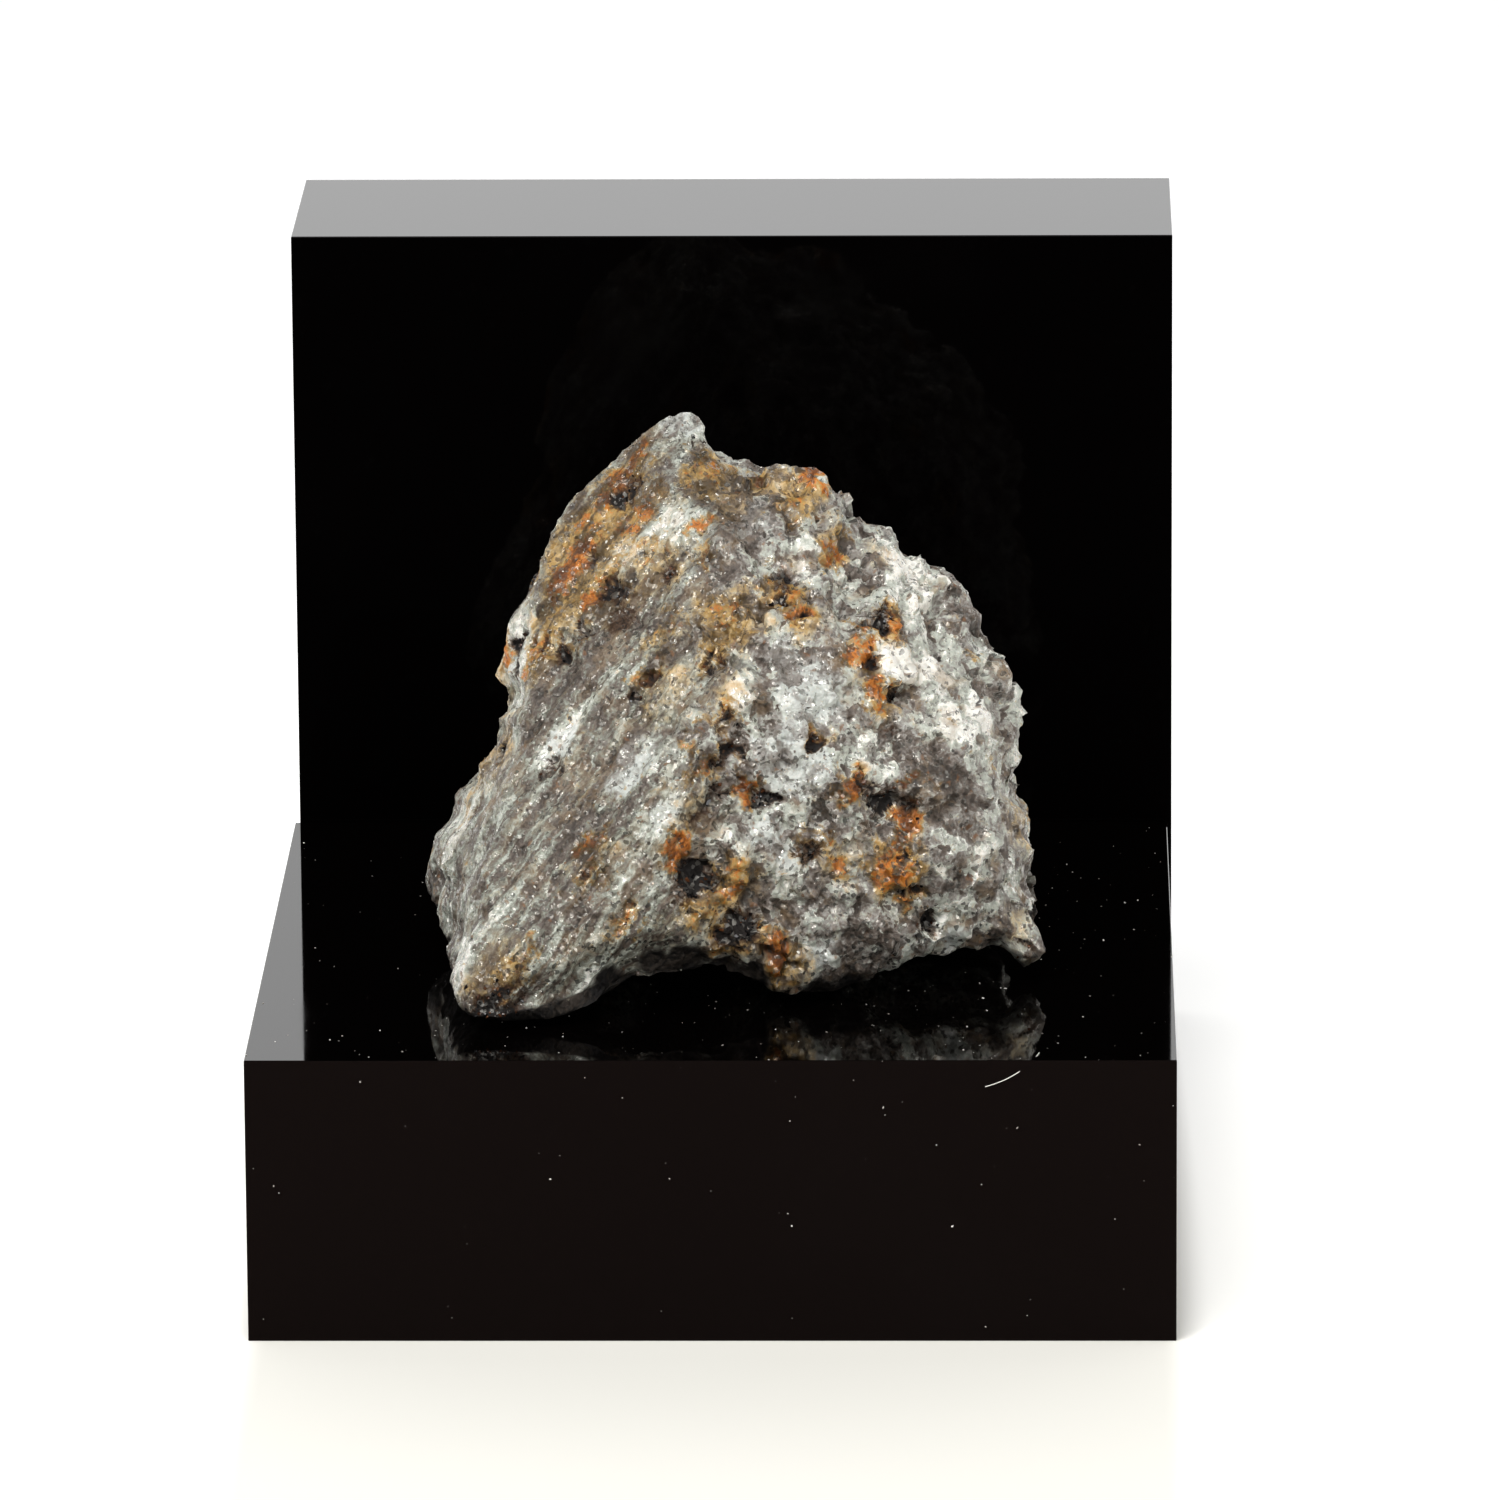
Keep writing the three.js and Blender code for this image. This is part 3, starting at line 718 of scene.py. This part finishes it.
def rock_colour(nodes, place, settings):
    """Colour of the rock, its dark spots and its painted shade below, which its finish also needs.
    """
    layered = nodes.attribute("layered")
    broken = 1 - layered
    clear = nodes.attribute("clear")
    bent = warped(nodes, place)
    streaks = streak_place(nodes, bent)
    streak = nodes.noise(streaks, 3.0, 4.0, 0.65)
    bands = nodes.noise(streaks, 0.9)
    mottle = nodes.noise(bent, 0.7, 5.0, 0.65)
    crumbs = nodes.noise(bent, 2.6, 4.0, 0.7)
    grit = nodes.noise(place, 8.0, 3.0, 0.7)
    tones = nodes.channel(nodes.cells(bent, 1.2).output("Color"), "Red")
    rim = nodes.cells(bent, 1.2, "DISTANCE_TO_EDGE")
    chalky = nodes.between(nodes.attribute("white"), 0.2, 0.9)

    # How light the bare rock is: streaks on the layered side, grains on the broken side
    lightness = ((streak - 0.5) * layered * 3.4
                 + (bands - 0.5) * layered * 1.6
                 + (tones - 0.5) * broken * 0.9
                 + nodes.between(rim, 0.12, 0.0) * broken * 0.2
                 + (mottle - 0.5) * (2.9 - layered * 0.6)
                 + (crumbs - 0.5) * (1.2 - clear * 0.7 - layered * 0.5 - chalky * 0.5)
                 + (grit - 0.5) * (0.8 - layered * 0.2 - chalky * 0.4)
                 # Raised parts of the relief are painted lighter and its hollows darker, as painted
                 # shade
                 + nodes.attribute("raised") * 0.5
                 + nodes.attribute("white") * 0.8
                 - nodes.attribute("smoky") * 0.55
                 + clear * 0.15
                 - layered * 0.10
                 + 0.52)
    grey = nodes.mixed(layered, settings.lilac_quartz, settings.grey_mica)
    colour = DARKEST_ROCK
    for low, high, tone in (
            (-0.40, 0.20, settings.smoky_quartz),
            (0.10, 0.50, grey),
            (0.45, 0.90, settings.pale_mica),
            (0.95, 1.35, settings.white_feldspar)):
        colour = nodes.mixed(nodes.between(lightness, low, high), colour, tone)
    pale = nodes.between(lightness, 0.1, 1.0)
    clouds = nodes.mixed(pale, settings.lilac_quartz, settings.clear_quartz)
    colour = nodes.mixed(nodes.between(clear + (crumbs - 0.5), 0.35, 0.7) * 0.7, colour, clouds)

    # Weathered tan areas, and thin tan seams between the layers
    earth = nodes.noise(bent, 0.40, 4.0, 0.7)
    seams = nodes.noise(streaks, 1.1, 3.0, 0.7)
    weathered = (nodes.between(earth, 0.50, 0.66) * (0.50 - layered * 0.15)
                 + nodes.between(seams, 0.52, 0.62) * layered * 0.24)
    colour = nodes.mixed(weathered * nodes.between(clear, 0.7, 0.3), colour, settings.tan_earth)
    shaded = 0.25 + nodes.between(lightness, -0.1, 1.2) * 1.1
    washed = nodes.attribute("ochre") + (mottle - 0.5) * 1.5 + (crumbs - 0.5) * 1.0
    colour = nodes.mixed(nodes.between(washed, 0.2, 0.9) * 0.75, colour,
                         nodes.scaled(settings.rust_ochre, shaded * 1.25))

    # Iron stains: ochre where they are thin, orange, then red-brown, then black crystals
    ragged_edge = (nodes.noise(bent, 1.6, 5.0, 0.75) - 0.5) * 3.0 + (grit - 0.5) * 1.2
    stray = nodes.between(nodes.noise(bent, 0.7, 5.0, 0.8), 0.56, 0.70)
    stain = nodes.attribute("rust") * 1.15 + ragged_edge + stray * 0.4
    dark = nodes.attribute("pit") * 1.25 + ragged_edge * 0.7
    for mask, low, high, cover, tone in (
            (stain, 0.30, 0.70, 0.80, nodes.scaled(settings.rust_ochre, shaded)),
            (stain, 0.80, 1.25, 0.88, nodes.scaled(settings.rust_orange, shaded)),
            (stain, 1.35, 1.85, 0.75, DEEP_RUST),
            (dark, 0.35, 0.70, 0.85, PIT_BROWN),
            (dark, 0.65, 1.00, 0.95, PIT_BLACK)):
        colour = nodes.mixed(nodes.between(mask, low, high) * cover, colour, tone)

    # Small flecks, some black and some rusty
    flecks = nodes.cells(bent, 2.3)
    chance = flecks.output("Color")
    inside = nodes.between(flecks + (grit - 0.5) * 0.5, 0.34, 0.24)
    black = nodes.between(nodes.channel(chance, "Red"), 0.085, 0.075)
    rusty = nodes.between(nodes.channel(chance, "Green"), 0.095, 0.085)
    colour = nodes.mixed(inside * rusty * 0.6, colour, FLECK_BROWN)
    colour = nodes.mixed(inside * black * 0.85, colour, FLECK_BLACK)

    # Painted shade on the underside, and darker towards the bottom near the block
    foot = nodes.between(nodes.part(place, "Z") + (mottle - 0.5) * 2.0, 1.1, 0.1)
    painted_shade = nodes.between(foot + nodes.attribute("underside"), 0.15, 0.75)
    colour = nodes.mixed(painted_shade * 0.97, colour, nodes.mixed(pale, PAINTED_SHADE_DARK, PAINTED_SHADE_LIGHT))
    return colour, dark, painted_shade


def rock_material(settings):
    material, nodes = new_material("mica_rock_surface")
    place = nodes.attribute("rest", "FLOAT_VECTOR")
    layered = nodes.attribute("layered")
    clear = nodes.attribute("clear")
    colour, dark, painted_shade = rock_colour(nodes, place, settings)

    # Tiny mirror-like faces, tilted at random
    glitter = nodes.cells(place, 5.0).output("Color")
    tilt = nodes.scaled(nodes.centred(glitter), 0.7)
    facing = nodes.add("ShaderNodeNewGeometry").output("Normal")
    normal = nodes.vector("NORMALIZE", nodes.vector("ADD", facing, tilt))
    ridges = (nodes.noise(streak_place(nodes, place), 3.0, 2.0, 0.6) * layered * 1.3
              + nodes.noise(place, 2.8, 4.0, 0.7) * 1.1)
    bump = nodes.add("ShaderNodeBump", {}, {
        "Strength": 1.0, "Distance": 0.12 * MM, "Height": ridges, "Normal": normal})
    gloss_and_painted_glint = nodes.between(nodes.channel(glitter, "Green"), 0.76, 0.82) * (1 - painted_shade)
    # The glinting faces are also painted lighter: a painted highlight.
    colour = nodes.mixed(gloss_and_painted_glint * 0.25, colour, settings.white_feldspar)
    matt = nodes.between(dark, 0.4, 0.7) + painted_shade
    roughness = 0.50 - gloss_and_painted_glint * 0.34 + matt * 0.3 - clear * 0.12
    return finish_material(material, nodes, {
        "Base Color": colour,
        "Roughness": roughness,
        "Metallic": gloss_and_painted_glint * 0.75,
        "Normal": bump,
        "IOR": 1.56,
        "Subsurface Weight": 0.3,
        "Subsurface Radius": (1.0, 0.9, 0.8),
        "Subsurface Scale": 0.3 * MM,
    }, {"subsurface_method": "RANDOM_WALK"})


def object_place(nodes):
    """Object coordinates in mm."""
    return nodes.scaled(nodes.add("ShaderNodeTexCoord").output("Object"), 1 / MM)


def grain_material(settings):
    """Clear and milky grains: the tone comes from each grain."""
    material, nodes = new_material("quartz_grain")
    tone = nodes.attribute("tone")
    rust = nodes.attribute("rust")
    place = object_place(nodes)
    cloud = nodes.noise(place, 3.0, 3.0, 0.6)
    colour = nodes.mixed(nodes.between(tone + (cloud - 0.5) * 0.6, 0.15, 0.85),
                         settings.smoky_quartz, settings.white_feldspar)
    colour = nodes.mixed(nodes.between(rust, 0.35, 0.7) * 0.8, colour, settings.rust_ochre)
    return finish_material(material, nodes, {
        "Base Color": colour,
        "Roughness": 0.2 + cloud * 0.35,
        "IOR": 1.55,
        "Subsurface Weight": 0.35,
        "Subsurface Radius": (1.0, 0.95, 0.9),
        "Subsurface Scale": 0.4 * MM,
    }, {"subsurface_method": "RANDOM_WALK"})


def flake_material(settings):
    """Silvery mica plates, pale to greenish or brown."""
    material, nodes = new_material("mica_flake")
    tone = nodes.attribute("tone")
    place = object_place(nodes)
    film = nodes.noise(place, 2.0)
    colour = nodes.mixed(nodes.between(tone, 0.1, 0.8), settings.grey_mica,
                         settings.white_feldspar)
    colour = nodes.mixed(nodes.between(film, 0.55, 0.7) * 0.5, colour, settings.tan_earth)
    return finish_material(material, nodes, {
        "Base Color": colour,
        "Roughness": 0.22 + tone * 0.2,
        "IOR": 1.6,
        "Coat Weight": 0.3,
    })


def crystal_material():
    """Black, glassy crystals, brown where they are thin."""
    material, nodes = new_material("dark_crystal")
    tone = nodes.attribute("tone")
    colour = nodes.mixed(nodes.between(tone, 0.5, 1.0), CRYSTAL_BLACK, CRYSTAL_BROWN)
    return finish_material(material, nodes, {
        "Base Color": colour,
        "Roughness": 0.08 + tone * 0.2,
        "IOR": 1.7,
    })


def acrylic_material(name, settings, acrylic, shine):
    """Polished black acrylic, hazy here and there from handling, and painted blacker on top as
    shade.
    """
    material, nodes = new_material(name)
    place = object_place(nodes)
    haze = nodes.between(nodes.noise(place, 0.08, 3.0, 0.6), 0.5, 0.75)
    wipe = nodes.between(nodes.noise(place, 0.9, 4.0, 0.7), 0.60, 0.75)
    colour = nodes.mixed(haze * 0.001 + wipe * 0.002, acrylic, SMEAR_GREY)
    facing = nodes.add("ShaderNodeNewGeometry").output("Normal")
    # Top faces are painted blacker: painted shade.
    top = nodes.between(nodes.part(facing, "Z"), 0.8, 0.9)
    colour = nodes.mixed(top * 0.85, colour, BLACK)
    back_top = top * nodes.between(nodes.part(place, "Z"), 30.0, 31.0)
    return finish_material(material, nodes, {
        "Base Color": colour,
        "Roughness": settings.polish + haze * 0.03 + wipe * 0.02,
        "IOR": 1.49,
        "Specular IOR Level": shine,
        "Coat Weight": back_top * 0.38,
    })


def scatter(name, template, ground, seed, share, density, width, least, lean, stand_out=0.0):
    """Scatters copies of the template over the ground, as one mesh.

    density is the most of them per square mm, and share works out the part of it at each place.
    width is the largest copy's width, and least the smallest one's as a share of it. lean is how
    far they lean out of the surface, in radians, and stand_out how far they stand out of it.
    """
    bpy.ops.mesh.primitive_plane_add(size=MM)
    piece = bpy.context.object
    piece.name = name
    nodes, _ = geometry_modifier(piece, name)
    points = nodes.add("GeometryNodeDistributePointsOnFaces", {}, {
        "Mesh": nodes.mesh_of(ground), "Density": share(nodes) * (density / MM ** 2),
        "Seed": seed})
    turn = nodes.random((-lean, -lean, -math.pi), (lean, lean, math.pi), seed + 1)
    turned = nodes.add("FunctionNodeRotateRotation", {"rotation_space": "LOCAL"}, {
        "Rotation": points.output("Rotation"),
        "Rotate By": nodes.add("FunctionNodeEulerToRotation", {}, {"Euler": turn})})
    lift = nodes.scaled(points.output("Normal"), stand_out)
    lifted = nodes.add("GeometryNodeSetPosition", {}, {"Geometry": points, "Offset": lift})
    chance = nodes.random(0.0, 1.0, seed + 2)
    shape = nodes.random((0.6, 0.6, 0.6), (1.3, 1.0, 1.0), seed + 3)
    size = chance * chance * (width - least * width) + least * width
    copies = nodes.add("GeometryNodeInstanceOnPoints", {}, {
        "Points": lifted, "Instance": nodes.mesh_of(template), "Rotation": turned,
        "Scale": nodes.scaled(shape, size)})
    toned = nodes.add("GeometryNodeStoreNamedAttribute", {
        "data_type": "FLOAT", "domain": "INSTANCE"}, {
        "Geometry": copies, "Name": "tone", "Value": nodes.random(0.0, 1.0, seed + 4)})
    real = nodes.add("GeometryNodeRealizeInstances", {}, {"Geometry": toned})
    nodes.add("NodeGroupOutput", {}, {"Geometry": real})
    apply_modifiers(piece)
    bpy.data.objects.remove(template)
    if not piece.data.polygons:
        raise RuntimeError(f"nothing was scattered for {name}")
    return piece


def above_block(nodes):
    """1 where a point is clear of the block, and 0 close to it."""
    height = nodes.part(nodes.add("GeometryNodeInputPosition"), "Z")
    return nodes.between(height, ROCK_ORIGIN.z + 0.7 * MM, ROCK_ORIGIN.z + 1.0 * MM)


def bare_rock(nodes, pit_edge):
    """1 where the rock has no pit, is clear of the block and isn't its underside."""
    level = nodes.between(nodes.attribute("pit"), pit_edge, 0.2)
    return level * above_block(nodes) * (1 - nodes.attribute("underside"))


def grain_share(nodes):
    """Grains lie in clumps, most of them on the broken side."""
    clumps = nodes.between(nodes.noise(nodes.attribute("rest", "FLOAT_VECTOR"), 0.6), 0.42, 0.58)
    return (1.1 - nodes.attribute("layered")) * bare_rock(nodes, 0.5) * clumps


def flake_share(nodes):
    """Flakes lie on the layered side, and a few on the broken side."""
    return (nodes.attribute("layered") * 0.8 + 0.2) * bare_rock(nodes, 0.6)


def crystal_share(nodes):
    """Crystals sit in the pits."""
    return nodes.between(nodes.attribute("pit"), 0.4, 0.7) * above_block(nodes)


def dust_share(nodes):
    """Dust lies along the lying block's front edge, most of it on the right."""
    place = nodes.add("GeometryNodeInputPosition")
    facing = nodes.add("GeometryNodeInputNormal")
    depth = nodes.part(place, "Y") - BASE_LOW.y
    drop = BASE_HIGH.z - nodes.part(place, "Z")
    near_edge = nodes.between(depth + drop, 9.0 * MM, 0.5 * MM)
    right = nodes.between(nodes.part(place, "X"), -2.0 * MM, 24.0 * MM)
    upward = nodes.between(nodes.part(facing, "Z"), 0.8, 0.9)
    forward = nodes.between(nodes.part(facing, "Y"), -0.8, -0.9)
    return (upward * (0.08 + near_edge * 0.25 + right * near_edge * 0.45)
            + forward * (0.008 + near_edge * 0.22))


def cut(place, across, stretch=None):
    """Cuts the active mesh off at a plane, if need be after stretching it, and gives it back."""
    bpy.ops.object.mode_set(mode="EDIT")
    bpy.ops.mesh.select_all(action="SELECT")
    if stretch:
        bpy.ops.transform.resize(value=stretch)
    bpy.ops.mesh.bisect(plane_co=place, plane_no=across, clear_outer=True, use_fill=True)
    bpy.ops.object.mode_set(mode="OBJECT")
    return bpy.context.object


def flake_template():
    """A six-sided plate, one unit wide, with one side split off."""
    bpy.ops.mesh.primitive_cylinder_add(vertices=6, radius=0.5, depth=0.09, end_fill_type="NGON")
    return cut((0.22, 0, 0), (0.9, 0.4, 0))


def lump_template(squash):
    """An angular grain, one unit wide."""
    bpy.ops.mesh.primitive_ico_sphere_add(subdivisions=1, radius=0.5)
    return cut((0, 0, 0.22 * squash), (0.3, 0.2, 1.0), (1.0, 0.8, squash))


class SPECIMEN_OT_rock(bpy.types.Operator):
    """Builds the rock's fine surface over its solid"""

    bl_idname = "specimen.rock"
    bl_label = "Mica rock"

    def execute(self, context):
        settings = context.scene.specimen_rock
        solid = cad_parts["mica_rock"]
        rock = solid.copy()
        rock.data = solid.data.copy()
        rock.name = "mica_rock_surface"
        context.scene.collection.objects.link(rock)
        rock.parent = None
        select_only(rock)
        bpy.ops.object.mode_set(mode="EDIT")
        bpy.ops.mesh.select_all(action="SELECT")
        bpy.ops.mesh.remove_doubles(threshold=0.001 * MM)
        bpy.ops.object.mode_set(mode="OBJECT")
        fine = rock.modifiers.new("fine", "SUBSURF")
        fine.subdivision_type = "SIMPLE"
        fine.levels = 2
        fine.render_levels = 2
        apply_modifiers(rock)
        paint_masks(rock)
        relieve(rock, settings)
        select_only(rock)
        bpy.ops.object.shade_smooth_by_angle(angle=math.radians(40))
        dress(rock, rock_material(settings))
        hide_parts("mica_rock")
        return {"FINISHED"}


class SPECIMEN_OT_grains(bpy.types.Operator):
    """Scatters clear and milky grains over the broken side of the rock"""

    bl_idname = "specimen.grains"
    bl_label = "Quartz grains"

    def execute(self, context):
        settings = context.scene.specimen_scatter
        rock = bpy.data.objects["mica_rock_surface"]
        grains = scatter(
            "quartz_grains", lump_template(0.8), rock, settings.seed, grain_share,
            density=settings.grain_density, width=settings.grain_width, least=0.25,
            lean=1.2, stand_out=-0.12 * MM)
        dress(grains, grain_material(context.scene.specimen_rock))
        return {"FINISHED"}


class SPECIMEN_OT_flakes(bpy.types.Operator):
    """Scatters mica flakes over the layered side of the rock"""

    bl_idname = "specimen.flakes"
    bl_label = "Mica flakes"

    def execute(self, context):
        settings = context.scene.specimen_scatter
        rock = bpy.data.objects["mica_rock_surface"]
        flakes = scatter(
            "mica_flakes", flake_template(), rock, settings.seed + 10, flake_share,
            density=settings.flake_density, width=settings.flake_width, least=0.3, lean=0.6)
        dress(flakes, flake_material(context.scene.specimen_rock))
        return {"FINISHED"}


class SPECIMEN_OT_crystals(bpy.types.Operator):
    """Sets dark, glassy crystals in the rock's pits"""

    bl_idname = "specimen.crystals"
    bl_label = "Dark crystals"

    def execute(self, context):
        settings = context.scene.specimen_scatter
        rock = bpy.data.objects["mica_rock_surface"]
        crystals = scatter(
            "dark_crystals", lump_template(0.9), rock, settings.seed + 20, crystal_share,
            density=settings.crystal_density, width=settings.crystal_width, least=0.35,
            lean=1.5, stand_out=-0.03 * MM)
        dress(crystals, crystal_material())
        return {"FINISHED"}


class SPECIMEN_OT_stand(bpy.types.Operator):
    """Builds the two polished acrylic blocks with their hair-fine edge breaks"""

    bl_idname = "specimen.stand"
    bl_label = "Acrylic stand"

    def execute(self, context):
        settings = context.scene.specimen_stand
        # The two colours are one acrylic, with painted light on the lying block and painted shade
        # on the standing one.
        for node, slot, colour, shine in (
                ("base_block", "base_acrylic", settings.base_colour_lit, settings.base_shine),
                ("back_block", "back_acrylic", settings.back_colour_shaded, settings.back_shine)):
            low, high = (Vector(corner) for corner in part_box(node))
            bpy.ops.mesh.primitive_cube_add(size=1.0, location=(low + high) / 2)
            block = bpy.context.object
            block.name = f"{node}_polished"
            block.scale = high - low
            bpy.ops.object.transform_apply(location=True, rotation=False, scale=True)
            bevel = block.modifiers.new("edge_break", "BEVEL")
            bevel.width = settings.edge_break
            bevel.segments = 2
            apply_modifiers(block)
            dress(block, acrylic_material(
                f"black_acrylic_{node}", settings, colour, shine))
            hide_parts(node)
        return {"FINISHED"}


def dust_material():
    material, nodes = new_material("dust")
    colour = nodes.mixed(nodes.attribute("tone"), DUST_DARK, DUST_LIGHT)
    return finish_material(material, nodes, {"Base Color": colour, "Roughness": 0.8})


class SPECIMEN_OT_dust(bpy.types.Operator):
    """Lays dust on the lying block, most of it along the front edge, and one stray fibre"""

    bl_idname = "specimen.dust"
    bl_label = "Dust and fibre"

    def execute(self, context):
        settings = context.scene.specimen_stand
        block = bpy.data.objects["base_block_polished"]
        dust = scatter(
            "dust", lump_template(0.6), block, settings.seed, dust_share,
            density=settings.dust_density, width=settings.dust_width, least=0.25, lean=0.6)
        material = dust_material()
        dress(dust, material)

        # The fibre hangs over the front edge
        bpy.ops.curve.primitive_nurbs_path_add(location=(0, 0, 0))
        fibre = bpy.context.object
        fibre.name = "fibre"
        for point, (x, y, z) in zip(fibre.data.splines[0].points, FIBRE):
            point.co = (x * MM, BASE_LOW.y + y * MM, BASE_HIGH.z + z * MM, 1.0)
        fibre.data.bevel_depth = settings.fibre_width / 2
        fibre.data.bevel_resolution = 1
        fibre.data.use_fill_caps = True
        bpy.ops.object.convert(target="MESH")
        fibre = bpy.context.object
        store(fibre.data, "tone", np.full(len(fibre.data.vertices), 0.7))
        dress(fibre, material)
        return {"FINISHED"}


def add_softbox(name, place, width, power):
    """A square light that shines from the place towards the rock."""
    bpy.ops.object.light_add(type="AREA", location=place)
    light = bpy.context.object
    light.name = name
    light.rotation_euler = (Vector(place) - LIGHT_AIM).to_track_quat("Z", "Y").to_euler()
    light.data.shape = "SQUARE"
    light.data.size = width
    light.data.energy = power


def light_room(settings):
    """A white room behind the specimen and a dim one in front; the camera sees plain white."""
    world = bpy.data.worlds.new("studio")
    bpy.context.scene.world = world
    world.use_nodes = True
    nodes = Nodes(world.node_tree)
    heading = nodes.add("ShaderNodeTexCoord").output("Generated")
    overhead = nodes.between(nodes.part(heading, "Z"), 0.80, 0.45)
    behind = nodes.between(nodes.part(heading, "Y"), -0.30, 0.30) * overhead
    level = behind * (settings.room_behind - settings.room_in_front) + settings.room_in_front
    seen = nodes.add("ShaderNodeLightPath").output("Is Camera Ray")
    strength = seen + (1 - seen) * level
    background = nodes.add("ShaderNodeBackground", {}, {
        "Color": (1.0, 1.0, 1.0), "Strength": strength})
    nodes.add("ShaderNodeOutputWorld", {}, {"Surface": background})


def floor_material(settings):
    """Cream in front of the stand; the white behind it and the glow away from it are painted light.
    """
    material, nodes = new_material("pale_floor")
    place = object_place(nodes)
    patches = nodes.noise(place, 0.02, 3.0, 0.5)
    colour = nodes.mixed(patches * 0.3, settings.floor_colour, FLOOR_CREAM)
    back = nodes.part(place, "Y")
    colour = nodes.mixed(nodes.between(back, -40.0, 90.0), colour, FLOOR_WHITE)
    side = nodes.add("ShaderNodeMath", {"operation": "ABSOLUTE"}, {0: nodes.part(place, "X")})
    # The glow is painted light that washes out the stand's shadows on the floor.
    away = nodes.between(back, -20.0, 90.0) + nodes.between(side, 24.0, 27.0)
    glow = nodes.mixed(away, BLACK, FLOOR_GLOW)
    return finish_material(material, nodes, {
        "Base Color": colour, "Roughness": 0.8, "Emission Color": glow, "Emission Strength": 1.0})


class SPECIMEN_OT_stage(bpy.types.Operator):
    """Adds the floor, the lights and the camera"""

    bl_idname = "specimen.stage"
    bl_label = "Stage"

    def execute(self, context):
        settings = context.scene.specimen_stage
        bpy.ops.mesh.primitive_plane_add(size=FLOOR_SIZE, location=(0, 0, 0))
        floor = bpy.context.object
        floor.name = "floor"
        floor.visible_glossy = False
        give_material(floor, floor_material(settings))
        light_room(settings)
        for name, place, width, power in LIGHTS:
            add_softbox(name, place, width, getattr(settings, power))
        bpy.ops.object.camera_add()
        camera = bpy.context.object
        camera.name = "camera"
        camera.matrix_world = camera_matrix(settings)
        camera.data.sensor_width = 36.0
        camera.data.lens = settings.camera_lens
        camera.data.clip_start = 0.05
        camera.data.clip_end = 20.0
        context.scene.camera = camera
        context.scene.view_settings.view_transform = "Standard"
        context.scene.view_settings.look = "Medium High Contrast"
        return {"FINISHED"}


class SPECIMEN_PT_panel(bpy.types.Panel):
    """Lists the specimen's settings and the steps that build it"""

    bl_idname = "SPECIMEN_PT_panel"
    bl_label = "Mica specimen"
    bl_space_type = "VIEW_3D"
    bl_region_type = "UI"
    bl_category = "Specimen"

    def draw(self, context):
        for group in SETTINGS:
            box = self.layout.box()
            for name in getattr(context.scene, group).bl_rna.properties.keys():
                if name not in ("name", "rna_type"):
                    box.prop(getattr(context.scene, group), name)
        for operator in STEPS:
            self.layout.operator(operator.bl_idname)


SETTINGS = {
    "specimen_rock": SpecimenRockSettings,
    "specimen_scatter": SpecimenScatterSettings,
    "specimen_stand": SpecimenStandSettings,
    "specimen_stage": SpecimenStageSettings,
}
STEPS = (
    SPECIMEN_OT_stage,
    SPECIMEN_OT_rock,
    SPECIMEN_OT_grains,
    SPECIMEN_OT_flakes,
    SPECIMEN_OT_crystals,
    SPECIMEN_OT_stand,
    SPECIMEN_OT_dust,
)
CLASSES = (*SETTINGS.values(), *STEPS, SPECIMEN_PT_panel)


def register():
    for kind in CLASSES:
        bpy.utils.register_class(kind)
    for name, group in SETTINGS.items():
        setattr(bpy.types.Scene, name, bpy.props.PointerProperty(type=group))


def unregister():
    for name in SETTINGS:
        delattr(bpy.types.Scene, name)
    for kind in reversed(CLASSES):
        bpy.utils.unregister_class(kind)


def main():
    register()
    bpy.ops.specimen.stage()
    bpy.ops.specimen.rock()
    bpy.ops.specimen.grains()
    bpy.ops.specimen.flakes()
    bpy.ops.specimen.crystals()
    bpy.ops.specimen.stand()
    bpy.ops.specimen.dust()


if __name__ == "__main__":
    main()
